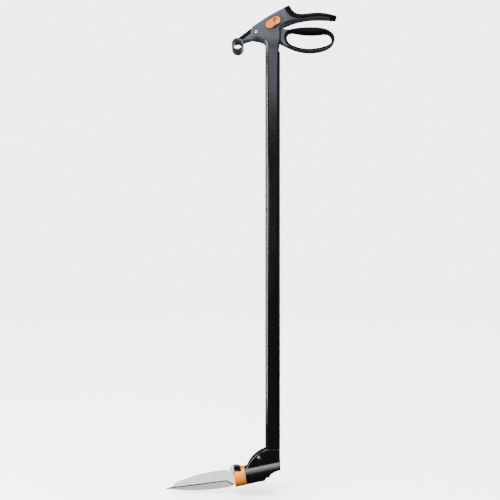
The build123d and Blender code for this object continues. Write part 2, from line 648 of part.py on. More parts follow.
with BuildPart() as lower_form:
    with BuildSketch(SIDE):
        add(gusset_outline.sketch)
    extrude(amount=GUSSET_HALF, both=True)
    # the housing runs right through to the back of the pole
    with BuildSketch(axis_plane(0.0)):
        Circle(HOUSING_R)
    extrude(amount=HOUSING_LENGTH)
    # underside of the heel
    with BuildSketch(SIDE):
        add(heel_cut.sketch)
    extrude(amount=2 * HOUSING_R, both=True, mode=Mode.SUBTRACT)
    # spigot up into the pole
    with BuildSketch(Plane.XY.offset(POLE_FOOT_Z)):
        with Locations((POLE_X, 0)):
            RectangleRounded(SPIGOT_WIDE, SPIGOT_DEEP, SPIGOT_ROUND)
    extrude(amount=SPIGOT_LENGTH)

RING_ROOM_R = 16.4
SPOOL_ROOM_R = 9.0
SPOOL_FIT = 0.4
NECK_BORE_LENGTH = 19.6
RING_ROOM_END = 24.6
SPOOL_ROOM_END = 41.0
HOUSING_BORE_END = 48.6
with BuildPart() as lower_hollow:
    # room for the bell crank
    with BuildSketch(SIDE):
        with BuildLine():
            Polyline((60.0, -882.0), (54.0, -883.5), (48.0, -887.5), (41.0, -894.0), (38.0, -899.0),
                     (39.0, -905.0), (44.0, -912.0), (47.0, -931.0), (61.0, -931.0), (68.0, -914.0),
                     (84.0, -906.0), (84.0, -882.0), (60.0, -882.0))
        make_face()
        with Locations((CRANK_X, CRANK_Z)):
            Circle(CRANK_BOSS_R + CRANK_ROOM)
    extrude(amount=GUSSET_CAVITY, both=True)
    # room for the rod's foot
    with BuildSketch(Plane.XY.offset(-900.0)):
        with Locations((POLE_X, 0)):
            RectangleRounded(18.0, 2 * CLEVIS_HALF, 3.0)
    extrude(amount=90.0)
    # bore of the cutting head, and room behind it
    with BuildSketch(axis_plane(0.0)):
        Circle(BORE_R)
    extrude(amount=NECK_BORE_LENGTH)
    with BuildSketch(axis_plane(NECK_BORE_LENGTH)):
        Circle(RING_ROOM_R)
    extrude(amount=RING_ROOM_END - NECK_BORE_LENGTH)
    with BuildSketch(axis_plane(RING_ROOM_END)):
        Circle(SPOOL_ROOM_R)
    extrude(amount=SPOOL_ROOM_END - RING_ROOM_END)
    with BuildSketch(axis_plane(SPOOL_ROOM_END)):
        Circle(SPOOL_R + SPOOL_FIT)
    extrude(amount=HOUSING_BORE_END - SPOOL_ROOM_END)
    with BuildSketch(side_plane(CRANK_X, CRANK_Z)):
        Circle(RIVET_R)
    extrude(amount=2 * GUSSET_HALF, both=True)

# one screw low in the housing, deep in a well, and one in the gusset's front
LOWER_SCREWS = [(80.5, -913.5), (31.5, -909.0)]
with BuildPart() as lower_screw_holes:
    for x, z in LOWER_SCREWS:
        with BuildSketch(side_plane(x, z, HOUSING_R + 1)):
            Circle(SCREW_HEAD_R)
        extrude(amount=HOUSING_R + 1 - (GUSSET_HALF - SCREW_HEAD_TALL))
        with BuildSketch(side_plane(x, z, GUSSET_HALF)):
            Circle(SCREW_R)
        extrude(amount=GUSSET_HALF + 6)

lower_solid = lower_form.part - lower_hollow.part - lower_screw_holes.part

with BuildPart() as lower_shell_left:
    add(lower_solid)
    split(bisect_by=Plane.XZ, keep=Keep.TOP)
lower_shell_left.part.label = "lower_shell_left"
export_step(lower_shell_left.part, "parts/lower_shell_left.step")

with BuildPart() as lower_shell_right:
    add(lower_solid)
    split(bisect_by=Plane.XZ, keep=Keep.BOTTOM)
lower_shell_right.part.label = "lower_shell_right"
export_step(lower_shell_right.part, "parts/lower_shell_right.step")

with BuildPart() as lower_screws:
    for x, z in LOWER_SCREWS:
        with BuildSketch(side_plane(x, z, GUSSET_HALF - SCREW_HEAD_FIT)):
            Circle(SCREW_HEAD_R - SCREW_HEAD_FIT)
        extrude(amount=SCREW_HEAD_TALL - SCREW_HEAD_FIT)
        with BuildSketch(side_plane(x, z, GUSSET_HALF - SCREW_HEAD_TALL)):
            Circle(SCREW_R)
        extrude(amount=LOWER_SCREW_LENGTH)
lower_screws.part.label = "lower_screws"
export_step(lower_screws.part, "parts/lower_screws.step")

with BuildPart() as crank_rivet:
    with BuildSketch(side_plane(CRANK_X, CRANK_Z)):
        Circle(RIVET_R - PRESS_FIT)
    extrude(amount=GUSSET_HALF, both=True)
    for side in (-1, 1):
        with BuildSketch(side_plane(CRANK_X, CRANK_Z, side * GUSSET_HALF)):
            Circle(RIVET_HEAD_R)
        extrude(amount=-RIVET_HEAD_TALL * side)
    fillet(crank_rivet.edges().filter_by(GeomType.CIRCLE).group_by(Axis.Y)[0], RIVET_ROUND)
    fillet(crank_rivet.edges().filter_by(GeomType.CIRCLE).group_by(Axis.Y)[-1], RIVET_ROUND)
crank_rivet.part.label = "crank_rivet"
export_step(crank_rivet.part, "parts/crank_rivet.step")

# ---- bell crank ---------------------------------------------------------
FORK_HALF = 7.2
CRANK_EYE_R = 5.4
CRANK_ARM_WIDE = 5.0
FINGER_NECK = 1.5
with BuildPart() as bell_crank:
    with BuildSketch(side_plane(CRANK_X, CRANK_Z)):
        Circle(CRANK_BOSS_R)
    extrude(amount=FORK_HALF, both=True)
    # arm to the rod's foot
    with BuildSketch(SIDE):
        with BuildLine():
            Polyline((CRANK_X, CRANK_Z + CRANK_ARM_WIDE), (POLE_X, ROD_FOOT_Z + CRANK_ARM_WIDE),
                     (POLE_X, ROD_FOOT_Z - CRANK_ARM_WIDE), (CRANK_X, CRANK_Z - CRANK_ARM_WIDE),
                     (CRANK_X, CRANK_Z + CRANK_ARM_WIDE))
        make_face()
        with Locations((POLE_X, ROD_FOOT_Z)):
            Circle(CRANK_EYE_R)
    extrude(amount=CRANK_ARM_HALF, both=True)
    # two fork arms down to the spool's groove
    with BuildSketch(AXIS_SIDE):
        with BuildLine():
            Polyline((CRANK_S - CRANK_ARM_WIDE, CRANK_H), (SPOOL_S - FINGER_NECK, 8.0),
                     (SPOOL_S - FINGER_NECK, 0.0), (SPOOL_S + FINGER_NECK, 0.0),
                     (SPOOL_S + FINGER_NECK, 8.0), (CRANK_S + CRANK_ARM_WIDE, CRANK_H),
                     (CRANK_S - CRANK_ARM_WIDE, CRANK_H))
        make_face()
        with Locations((SPOOL_S, 0)):
            Circle(FINGER_R)
    extrude(amount=FORK_HALF, both=True)
    with BuildSketch(AXIS_SIDE):
        with Locations((SPOOL_S, 2.0)):
            Rectangle(24.0, 32.0)
    extrude(amount=PLUNGER_R + 0.6, both=True, mode=Mode.SUBTRACT)
    with BuildSketch(side_plane(CRANK_X, CRANK_Z)):
        Circle(CRANK_BUSH_R)
    extrude(amount=THROUGH, both=True, mode=Mode.SUBTRACT)
    with BuildSketch(side_plane(POLE_X, ROD_FOOT_Z)):
        Circle(ROD_PIN_R + OPEN_PIVOT_GAP)
    extrude(amount=THROUGH, both=True, mode=Mode.SUBTRACT)
bell_crank.part.label = "bell_crank"
export_step(bell_crank.part, "parts/bell_crank.step")

with BuildPart() as crank_bush:
    with BuildSketch(side_plane(CRANK_X, CRANK_Z)):
        Circle(CRANK_BUSH_R)
        Circle(RIVET_R + RUNNING, mode=Mode.SUBTRACT)
    extrude(amount=FORK_HALF + 0.3, both=True)
crank_bush.part.label = "crank_bush"
export_step(crank_bush.part, "parts/crank_bush.step")

# ---- plunger ------------------------------------------------------------
SPOOL_FLANGE = 2.4
PLUNGER_NOSE_S = 8.0
TONGUE_NEAR, TONGUE_FAR = -6.4, -3.0
TONGUE_EYE_R = 4.2
TONGUE_WIDE = 5.0
TONGUE_ROOT = PLUNGER_NOSE_S + 1.5
DRIVE_PIN_LENGTH = 6.0
DRIVE_PIN_FAR = -0.4
with BuildPart() as plunger:
    with BuildSketch(axis_plane(PLUNGER_NOSE_S)):
        Circle(PLUNGER_R)
    extrude(amount=SPOOL_S + GROOVE_HALF + SPOOL_FLANGE - PLUNGER_NOSE_S)
    for s in (SPOOL_S - GROOVE_HALF - SPOOL_FLANGE, SPOOL_S + GROOVE_HALF):
        with BuildSketch(axis_plane(s)):
            Circle(SPOOL_R)
        extrude(amount=SPOOL_FLANGE)
    with BuildSketch(axis_side_plane(TONGUE_FAR)):
        with Locations((DRIVE_PIN_S, 0)):
            Circle(TONGUE_EYE_R)
        with Locations(((DRIVE_PIN_S + TONGUE_ROOT) / 2, 0)):
            Rectangle(TONGUE_ROOT - DRIVE_PIN_S, TONGUE_WIDE)
    extrude(amount=TONGUE_FAR - TONGUE_NEAR)
    with BuildSketch(axis_side_plane(0)):
        with Locations((DRIVE_PIN_S, 0)):
            Circle(DRIVE_PIN_R)
    extrude(amount=THROUGH, both=True, mode=Mode.SUBTRACT)
plunger.part.label = "plunger"
export_step(plunger.part, "parts/plunger.step")

with BuildPart() as drive_pin:
    with BuildSketch(axis_side_plane(DRIVE_PIN_FAR)):
        with Locations((DRIVE_PIN_S, 0)):
            Circle(DRIVE_PIN_R)
    extrude(amount=DRIVE_PIN_LENGTH)
drive_pin.part.label = "drive_pin"
export_step(drive_pin.part, "parts/drive_pin.step")

# ---- cutting head -------------------------------------------------------
SLOT_NEAR, SLOT_FAR = -6.8, BLADE_THICK + 0.3
NEAR_CHEEK_R = 16.0
FAR_CHEEK_R = 12.5
CHEEK_HALF = 9.8
CARRIER_LENGTH = 23.0
CHEEK_REAR_S = -8.9
NECK_END_S = 22.6
GROOVE_S = 20.4
LOCATING_PIN = (-9.2, -9.0)
LOCATING_PIN_R = 1.5
HEAD_GAP = 0.3
RING_THICK = 1.4
RING_R = 15.6
RING_BITE = 1.95
BOLT_HEAD_R = 6.6
BOLT_HEAD_TALL = 2.0
NUT_R = 6.4
NUT_TALL = 3.0
WELL_GAP = 0.2
BUSH_R = 6.0
with BuildPart() as head_carrier:
    with BuildSketch(axis_plane(-CARRIER_LENGTH)):
        Circle(CARRIER_R)
    extrude(amount=CARRIER_LENGTH - HEAD_GAP)
    with BuildSketch(axis_plane(-HEAD_GAP)):
        Circle(BORE_R - RUNNING)
    extrude(amount=NECK_END_S + HEAD_GAP)
    # cheeks standing up round the blade bolt; the near one shows in the collar's window
    for y, cheek_r in ((0.0, NEAR_CHEEK_R), (CHEEK_HALF, FAR_CHEEK_R)):
        with BuildSketch(axis_side_plane(y)):
            with Locations((BLADE_PIVOT_S, BLADE_PIVOT_H)):
                Circle(cheek_r)
            with Locations((CHEEK_REAR_S - CARRIER_LENGTH, BLADE_PIVOT_H)):
                Rectangle(2 * CARRIER_LENGTH, 60.0, mode=Mode.INTERSECT)
        extrude(amount=CHEEK_HALF)
    with BuildSketch(axis_plane(-CARRIER_LENGTH)):
        Circle(60.0)
    extrude(amount=-30.0, mode=Mode.SUBTRACT)
    # slot for the blades and the tongue
    with BuildSketch(axis_side_plane(SLOT_FAR)):
        with Locations((-14.5, 0)):
            Rectangle(25.0, 70.0)
    extrude(amount=SLOT_FAR - SLOT_NEAR, mode=Mode.SUBTRACT)
    # guide bore, with a way for the tongue
    with BuildSketch(axis_plane(-CARRIER_LENGTH)):
        Circle(PLUNGER_R + RUNNING)
    extrude(amount=60.0, mode=Mode.SUBTRACT)
    with BuildSketch(axis_side_plane(TONGUE_FAR + 0.4)):
        with Locations((3.0, 0)):
            Rectangle(16.0, 6.2)
    extrude(amount=4.2, mode=Mode.SUBTRACT)
    # groove of the retaining ring
    with BuildSketch(axis_plane(GROOVE_S)):
        Circle(RING_ROOM_R)
        Circle(BORE_R - RING_BITE - RUNNING, mode=Mode.SUBTRACT)
    extrude(amount=RING_THICK + WELL_GAP, mode=Mode.SUBTRACT)
    with BuildSketch(AXIS_SIDE):
        with Locations((BLADE_PIVOT_S, BLADE_PIVOT_H)):
            Circle(BOLT_R)
        with Locations(LOCATING_PIN):
            Circle(LOCATING_PIN_R)
    extrude(amount=30.0, both=True, mode=Mode.SUBTRACT)
    for y, depth in ((-CHEEK_HALF, -BOLT_HEAD_TALL - WELL_GAP), (CHEEK_HALF, NUT_TALL + WELL_GAP)):
        with BuildSketch(axis_side_plane(y)):
            with Locations((BLADE_PIVOT_S, BLADE_PIVOT_H)):
                Circle(BOLT_HEAD_R + WELL_GAP)
        extrude(amount=depth, mode=Mode.SUBTRACT)

COLLAR_WINDOW_H = 14.2
COLLAR_WINDOW_END = -8.2
COLLAR_BEVEL = 1.2
with BuildPart() as collar:
    with BuildSketch(axis_plane(-COLLAR_LENGTH)):
        Circle(COLLAR_R)
        Circle(COLLAR_BORE_R, mode=Mode.SUBTRACT)
    extrude(amount=COLLAR_LENGTH - HEAD_GAP)
    chamfer(collar.faces().sort_by(Axis.X)[-1].edges().sort_by(SortBy.LENGTH)[-1], COLLAR_BEVEL)
    # the front face leans back less than the axis does
    with BuildSketch(AXIS_SIDE):
        with BuildLine():
            Polyline((-23.8, 24.0), (-27.4, -24.0), (-60.0, -24.0), (-60.0, 24.0), (-23.8, 24.0))
        make_face()
    extrude(amount=40.0, both=True, mode=Mode.SUBTRACT)
    with BuildSketch(AXIS_SIDE):
        with Locations((COLLAR_WINDOW_END - 20.0, COLLAR_WINDOW_H + 20.0)):
            Rectangle(40.0, 40.0)
    extrude(amount=40.0, both=True, mode=Mode.SUBTRACT)
    with BuildSketch(AXIS_SIDE):
        with Locations((-17.5, 20.0)):
            Rectangle(29.0, 40.0)
    extrude(amount=BLADE_THICK + 0.4, both=True, mode=Mode.SUBTRACT)
    # room for the cheeks and the bolt
    with BuildSketch(AXIS_SIDE):
        with Locations((BLADE_PIVOT_S, BLADE_PIVOT_H)):
            Circle(NEAR_CHEEK_R)
        with Locations((CHEEK_REAR_S - CARRIER_LENGTH, BLADE_PIVOT_H)):
            Rectangle(2 * CARRIER_LENGTH, 60.0, mode=Mode.INTERSECT)
    extrude(amount=CHEEK_HALF + WELL_GAP, both=True, mode=Mode.SUBTRACT)
collar.part = collar.part - head_carrier.part
collar.part.label = "collar"
export_step(collar.part, "parts/collar.step")
head_carrier.part.label = "head_carrier"
export_step(head_carrier.part, "parts/head_carrier.step")

with BuildPart() as retaining_ring:
    with BuildSketch(axis_plane(GROOVE_S + WELL_GAP / 2)):
        Circle(RING_R)
        Circle(BORE_R - RING_BITE, mode=Mode.SUBTRACT)
    extrude(amount=RING_THICK)
retaining_ring.part.label = "retaining_ring"
export_step(retaining_ring.part, "parts/retaining_ring.step")

with BuildPart() as blade_bolt:
    with BuildSketch(axis_side_plane(CHEEK_HALF)):
        with Locations((BLADE_PIVOT_S, BLADE_PIVOT_H)):
            Circle(BOLT_R - PRESS_FIT)
    extrude(amount=2 * CHEEK_HALF)
    with BuildSketch(axis_side_plane(-CHEEK_HALF)):
        with Locations((BLADE_PIVOT_S, BLADE_PIVOT_H)):
            Circle(BOLT_HEAD_R)
    extrude(amount=-BOLT_HEAD_TALL)
blade_bolt.part.label = "blade_bolt"
export_step(blade_bolt.part, "parts/blade_bolt.step")

with BuildPart() as blade_nut:
    with BuildSketch(axis_side_plane(CHEEK_HALF)):
        with Locations((BLADE_PIVOT_S, BLADE_PIVOT_H)):
            RegularPolygon(NUT_R, 6)
            Circle(BOLT_R, mode=Mode.SUBTRACT)
    extrude(amount=NUT_TALL)
blade_nut.part.label = "blade_nut"
export_step(blade_nut.part, "parts/blade_nut.step")

with BuildPart() as blade_bush:
    with BuildSketch(axis_side_plane(-BLADE_THICK - 2 * BLADE_GAP)):
        with Locations((BLADE_PIVOT_S, BLADE_PIVOT_H)):
            Circle(BUSH_R)
            Circle(BOLT_R, mode=Mode.SUBTRACT)
    extrude(amount=-SLOT_NEAR - BLADE_THICK - 2 * BLADE_GAP)
blade_bush.part.label = "blade_bush"
export_step(blade_bush.part, "parts/blade_bush.step")

# ---- blades -------------------------------------------------------------
with BuildPart() as moving_blade:
    with BuildSketch(side_plane(0, 0, -BLADE_GAP)):
        with BuildLine():
            Spline((-157.2, -965.6), (-136.0, -952.2), (-113.0, -942.8), (-88.0, -935.0), (-58.0, -928.4),
                   (-29.5, -923.6))
            Polyline((-29.5, -923.6), (-22.0, -925.8), (-18.4, -929.8), (BLADE_X, BLADE_Z),
                     on_axis(DRIVE_PIN_S + 4.0, -4.0), on_axis(-26.2, -13.8), (-16.0, -953.6),
                     (-22.5, -949.0), (-28.0, -949.2), (-86.9, -957.4), (-157.2, -965.6))
        make_face()
        with Locations((BLADE_X, BLADE_Z)):
            Circle(HUB_R)
        with Locations(on_axis(DRIVE_PIN_S, 0)):
            Circle(6.4)
    extrude(amount=BLADE_THICK)
    with BuildSketch(side_plane(BLADE_X, BLADE_Z)):
        Circle(BOLT_R + RUNNING)
    extrude(amount=THROUGH, both=True, mode=Mode.SUBTRACT)
    # slot of the drive pin, pointing at the pivot
    pin_offset = (DRIVE_PIN_S - BLADE_PIVOT_S, -BLADE_PIVOT_H)
    slot_angle = math.degrees(math.atan2(pin_offset[1], pin_offset[0]))
    with BuildSketch(AXIS_SIDE):
        with Locations((DRIVE_PIN_S - 0.15, 0.35)):
            SlotOverall(2 * DRIVE_PIN_R + 2.0, 2 * DRIVE_PIN_R + 0.7, rotation=slot_angle)
    extrude(amount=THROUGH, both=True, mode=Mode.SUBTRACT)
moving_blade.part.label = "moving_blade"
export_step(moving_blade.part, "parts/moving_blade.step")

with BuildPart() as fixed_blade:
    with BuildSketch(side_plane(0, 0, BLADE_THICK + BLADE_GAP)):
        with BuildLine():
            Line((-157.6, -966.2), (-90.0, -953.0))
            Line((-90.0, -953.0), (-30.0, -941.0))
            Line((-30.0, -941.0), (BLADE_X, BLADE_Z))
            Line((BLADE_X, BLADE_Z), on_axis(-5.2, 0.0))
            Line(on_axis(-5.2, 0.0), on_axis(-4.2, -12.0))
            Line(on_axis(-4.2, -12.0), on_axis(-24.2, -14.6))
            Line(on_axis(-24.2, -14.6), (-18.0, -962.0))
            Spline((-18.0, -962.0), (-60.0, -967.4), (-110.0, -969.2), (-157.6, -966.2))
        make_face()
        with Locations((BLADE_X, BLADE_Z)):
            Circle(HUB_R - 0.6)
    extrude(amount=BLADE_THICK)
    with BuildSketch(AXIS_SIDE):
        with Locations((BLADE_PIVOT_S, BLADE_PIVOT_H)):
            Circle(BOLT_R)
        with Locations(LOCATING_PIN):
            Circle(LOCATING_PIN_R)
    extrude(amount=THROUGH, both=True, mode=Mode.SUBTRACT)
fixed_blade.part.label = "fixed_blade"
export_step(fixed_blade.part, "parts/fixed_blade.step")

with BuildPart() as blade_locating_pin:
    with BuildSketch(axis_side_plane(CHEEK_HALF + 2.0)):
        with Locations(LOCATING_PIN):
            Circle(LOCATING_PIN_R)
    extrude(amount=CHEEK_HALF + 2.0)
blade_locating_pin.part.label = "blade_locating_pin"
export_step(blade_locating_pin.part, "parts/blade_locating_pin.step")
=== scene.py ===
import json
import math

import bpy
import numpy as np
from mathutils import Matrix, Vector


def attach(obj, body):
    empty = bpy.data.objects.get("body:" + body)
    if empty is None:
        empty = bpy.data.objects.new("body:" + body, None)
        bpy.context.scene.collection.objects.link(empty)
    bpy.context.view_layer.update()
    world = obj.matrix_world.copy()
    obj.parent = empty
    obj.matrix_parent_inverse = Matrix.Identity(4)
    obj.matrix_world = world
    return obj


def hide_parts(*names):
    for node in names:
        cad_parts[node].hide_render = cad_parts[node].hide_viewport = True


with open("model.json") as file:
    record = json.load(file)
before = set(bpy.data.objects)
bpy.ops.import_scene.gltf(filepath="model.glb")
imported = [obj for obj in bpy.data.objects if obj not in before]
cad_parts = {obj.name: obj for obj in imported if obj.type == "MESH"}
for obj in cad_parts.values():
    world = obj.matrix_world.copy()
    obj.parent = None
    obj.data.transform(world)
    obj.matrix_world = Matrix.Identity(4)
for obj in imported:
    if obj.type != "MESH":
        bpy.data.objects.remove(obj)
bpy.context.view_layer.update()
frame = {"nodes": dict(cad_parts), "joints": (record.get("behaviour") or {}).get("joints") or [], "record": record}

# Shapes are drawn in millimetres in the model's own frame: the origin is the
# centre of the hanging eye, +Z is up and -X points at the blade tips. The
# camera, the lights, the floor and the materials are in metres.
MM = 0.001


# ---- camera -------------------------------------------------------------
CAMERA_AT = (0.0267, -1.150, -0.444)
LENS = 37.9

camera = bpy.data.objects.new("camera", bpy.data.cameras.new("camera"))
camera.data.lens = LENS
camera.data.sensor_width = 36.0
camera.data.clip_end = 50.0
camera.location = CAMERA_AT
camera.rotation_euler = (math.radians(90.0), 0.0, 0.0)
bpy.context.scene.collection.objects.link(camera)
bpy.context.scene.camera = camera


# ---- places, from the frame ---------------------------------------------
joints = {j["name"]: j for j in frame["joints"]}


def place(joint):
    """A joint's point, in millimetres."""
    x, y, z = joints[joint]["pos_m"]
    return x / MM, y / MM, z / MM


TRIGGER_X, _, TRIGGER_Z = place("trigger_pull")
CRANK_X, _, CRANK_Z = place("crank_pivot")
BLADE_X, _, BLADE_Z = place("blade_pivot")
AXIS_X, _, AXIS_Z = place("head_turn")
AXIS_DIR = joints["head_turn"]["axis"]
COS_T, SIN_T = -AXIS_DIR[0], -AXIS_DIR[2]
LOCK_DIR = joints["lock_slide"]["axis"]


# ---- shapes from distance fields ----------------------------------------
# A field gives the distance to a surface, negative inside. Fields are joined
# and cut with soft edges, then turned into a mesh whose points are pulled on
# to the surface, so every edge has a true rounding.

def spline(points, closed=False, steps=8):
    """Points along a smooth curve through the given points."""
    p = np.array(points, float)
    n = len(p)
    out = []
    spans = n if closed else n - 1
    for i in range(spans):
        a = p[(i - 1) % n] if closed or i > 0 else 2 * p[0] - p[1]
        b = p[i]
        c = p[(i + 1) % n]
        d = p[(i + 2) % n] if closed or i + 2 < n else 2 * p[-1] - p[-2]
        for k in range(steps):
            t = k / steps
            out.append(0.5 * (2 * b + (c - a) * t + (2 * a - 5 * b + 4 * c - d) * t ** 2
                              + (3 * b - a - 3 * c + d) * t ** 3))
    if not closed:
        out.append(p[-1])
    return [tuple(q) for q in out]


def arc(centre, radius, start, end, steps):
    """Points along an arc, angles in degrees."""
    angles = np.radians(np.linspace(start, end, steps + 1))
    return [(centre[0] + radius * math.cos(a), centre[1] + radius * math.sin(a)) for a in angles]


def arc_through(a, b, c, steps=12):
    """Points along the arc from a through b to c."""
    (ax, az), (bx, bz), (cx, cz) = a, b, c
    d = 2 * (ax * (bz - cz) + bx * (cz - az) + cx * (az - bz))
    aa, bb, cc = ax * ax + az * az, bx * bx + bz * bz, cx * cx + cz * cz
    centre = ((aa * (bz - cz) + bb * (cz - az) + cc * (az - bz)) / d,
              (aa * (cx - bx) + bb * (ax - cx) + cc * (bx - ax)) / d)
    start = math.degrees(math.atan2(az - centre[1], ax - centre[0]))
    end = math.degrees(math.atan2(cz - centre[1], cx - centre[0]))
    middle = math.degrees(math.atan2(bz - centre[1], bx - centre[0]))
    sweep = (end - start) % 360.0
    if (middle - start) % 360.0 > sweep:
        sweep -= 360.0
    return arc(centre, math.dist(centre, a), start, start + sweep, steps)


def joined(*runs):
    """One outline from several runs of points, without doubled points."""
    out = []
    for run in runs:
        for q in run:
            if not out or math.dist(q, out[-1]) > 1e-3:
                out.append(q)
    if math.dist(out[0], out[-1]) < 1e-3:
        out.pop()
    return out


GRID_CELL = 0.4
GRID_MARGIN = 20.0


def region(points):
    """Signed distance to a closed outline in a plane, looked up in a fine grid."""
    p = np.array(points, float)
    q = np.roll(p, -1, axis=0)
    low = p.min(0) - GRID_MARGIN
    counts = np.ceil((p.max(0) + GRID_MARGIN - low) / GRID_CELL).astype(int) + 1
    u = low[0] + GRID_CELL * np.arange(counts[0])[:, None]
    v = low[1] + GRID_CELL * np.arange(counts[1])[None, :]
    best = np.full(counts, 1e18)
    inside = np.zeros(counts, bool)
    for (x0, z0), (x1, z1) in zip(p, q):
        ex, ez = x1 - x0, z1 - z0
        wx, wz = u - x0, v - z0
        t = np.clip((wx * ex + wz * ez) / (ex * ex + ez * ez), 0, 1)
        best = np.minimum(best, (wx - ex * t) ** 2 + (wz - ez * t) ** 2)
        slope = ex / ez if abs(ez) > 1e-12 else 0.0
        inside ^= ((z0 > v) != (z1 > v)) & (u < x0 + wz * slope)
    grid = np.where(inside, -np.sqrt(best), np.sqrt(best))

    def distance(u, v):
        u, v = np.broadcast_arrays(u, v)
        fu = (u - low[0]) / GRID_CELL
        fv = (v - low[1]) / GRID_CELL
        iu = np.clip(fu.astype(int), 0, counts[0] - 2)
        iv = np.clip(fv.astype(int), 0, counts[1] - 2)
        tu = np.clip(fu - iu, 0, 1)
        tv = np.clip(fv - iv, 0, 1)
        near = grid[iu, iv] * (1 - tu) + grid[iu + 1, iv] * tu
        far = grid[iu, iv + 1] * (1 - tu) + grid[iu + 1, iv + 1] * tu
        outside = np.hypot(fu - np.clip(fu, 0, counts[0] - 1), fv - np.clip(fv, 0, counts[1] - 1))
        return near * (1 - tv) + far * tv + outside * GRID_CELL
    return distance


def capsule(a, b, radius):
    """Signed distance to a round-ended bar in a plane."""
    ax, az = a
    ex, ez = b[0] - a[0], b[1] - a[1]

    def distance(u, v):
        t = np.clip(((u - ax) * ex + (v - az) * ez) / (ex * ex + ez * ez), 0, 1)
        return np.hypot(u - ax - ex * t, v - az - ez * t) - radius
    return distance


def slab(flat, across, half, rounding):
    """A flat region given thickness, with rounded edges. across is the distance from its middle plane."""
    wu = flat + rounding
    wv = np.abs(across) - half + rounding
    return np.minimum(np.maximum(wu, wv), 0) + np.hypot(np.maximum(wu, 0), np.maximum(wv, 0)) - rounding


def soft_min(a, b, r):
    """Union with a fillet of about r."""
    h = np.clip(0.5 + 0.5 * (b - a) / r, 0, 1)
    return b + (a - b) * h - r * h * (1 - h)


def soft_max(a, b, r):
    """Intersection with a rounded edge of about r."""
    return -soft_min(-a, -b, r)


def cut(a, b, r):
    """a with b taken away."""
    return soft_max(a, -b, r)


def smooth_step(x, lo, hi):
    t = np.clip((x - lo) / (hi - lo), 0, 1)
    return t * t * (3 - 2 * t)


def along_axis(x, z):
    """Distance up the cutter axis, and height above it."""
    dx, dz = x - AXIS_X, z - AXIS_Z
    return dx * COS_T + dz * SIN_T, -dx * SIN_T + dz * COS_T


def on_axis(s, h):
    return AXIS_X + s * COS_T - h * SIN_T, AXIS_Z + s * SIN_T + h * COS_T


def net(field, low, high, step):
    """Quads on the surface of a field inside a box: one point per crossed cell, pulled on to the surface."""
    step = np.array(step, float) * np.ones(3)
    counts = [max(2, int(math.ceil((h - l) / d)) + 1) for l, h, d in zip(low, high, step)]
    axes = [l + d * np.arange(n) for l, n, d in zip(low, counts, step)]
    x, y, z = axes[0][:, None, None], axes[1][None, :, None], axes[2][None, None, :]
    f = np.broadcast_to(field(x, y, z), counts).astype(float)
    inside = f < 0
    cells = np.zeros([n - 1 for n in counts], int)
    corners = [(i, j, k) for i in (0, 1) for j in (0, 1) for k in (0, 1)]
    for i, j, k in corners:
        cells += inside[i:counts[0] - 1 + i, j:counts[1] - 1 + j, k:counts[2] - 1 + k]
    crossed = (cells > 0) & (cells < 8)
    where = np.argwhere(crossed)
    index = -np.ones(crossed.shape, int)
    index[tuple(where.T)] = np.arange(len(where))
    total = np.zeros((len(where), 3))
    hits = np.zeros(len(where))
    edges = [(a, b) for a in corners for b in corners
             if sum(b) - sum(a) == 1 and sum(abs(p - q) for p, q in zip(a, b)) == 1]
    for a, b in edges:
        fa = f[tuple((where + a).T)]
        fb = f[tuple((where + b).T)]
        hit = (fa < 0) != (fb < 0)
        t = np.where(hit, fa / np.where(hit, fa - fb, 1), 0)
        point = np.array(a) + t[:, None] * (np.array(b) - np.array(a))
        total += point * hit[:, None]
        hits += hit
    points = np.array(low) + step * (where + total / hits[:, None])
    quads = []
    for axis in range(3):
        u, v = (axis + 1) % 3, (axis + 2) % 3
        first = [slice(None)] * 3
        second = [slice(None)] * 3
        first[axis] = slice(0, counts[axis] - 1)
        second[axis] = slice(1, counts[axis])
        change = inside[tuple(first)] != inside[tuple(second)]
        flip = inside[tuple(first)]
        spots = np.argwhere(change)
        good = (spots[:, u] > 0) & (spots[:, v] > 0)
        good &= (spots[:, u] < counts[u] - 1) & (spots[:, v] < counts[v] - 1)
        spots = spots[good]
        outwards = flip[tuple(spots.T)]
        ring = []
        for du, dv in ((1, 1), (0, 1), (0, 0), (1, 0)):
            c = spots.copy()
            c[:, u] -= du
            c[:, v] -= dv
            ring.append(index[tuple(c.T)])
        ring = np.stack(ring, 1)
        ring[~outwards] = ring[~outwards][:, ::-1]
        quads.append(ring)
    quads = np.concatenate(quads)
    fine = step.min()
    eps = 0.05 * fine
    for _ in range(4):
        px, py, pz = points.T
        value = field(px, py, pz)
        gradient = np.stack([
            (field(px + eps, py, pz) - field(px - eps, py, pz)) / (2 * eps),
            (field(px, py + eps, pz) - field(px, py - eps, pz)) / (2 * eps),
            (field(px, py, pz + eps) - field(px, py, pz - eps)) / (2 * eps)], 1)
        size = np.maximum((gradient ** 2).sum(1), 0.25)
        move = gradient * (value / size)[:, None]
        length = np.linalg.norm(move, axis=1)
        points -= move * np.minimum(1, 0.5 * fine / np.maximum(length, 1e-9))[:, None]
    return points, quads


def mesh_object(name, points, faces):
    mesh = bpy.data.meshes.new(name)
    corners = [tuple(q) for q in np.asarray(points, float) * MM]
    mesh.from_pydata(corners, [], [list(map(int, q)) for q in faces])
    mesh.validate()
    obj = bpy.data.objects.new(name, mesh)
    bpy.context.scene.collection.objects.link(obj)
    mesh.shade_smooth()
    return obj


def from_field(name, field, low, high, step):
    points, quads = net(field, low, high, step)
    return mesh_object(name, points, quads)


def finish_piece(obj, body, slot, material, *nodes):
    obj.data.materials.clear()
    obj.data.materials.append(material)
    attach(obj, body)
    if nodes:
        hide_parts(*nodes)
    return obj


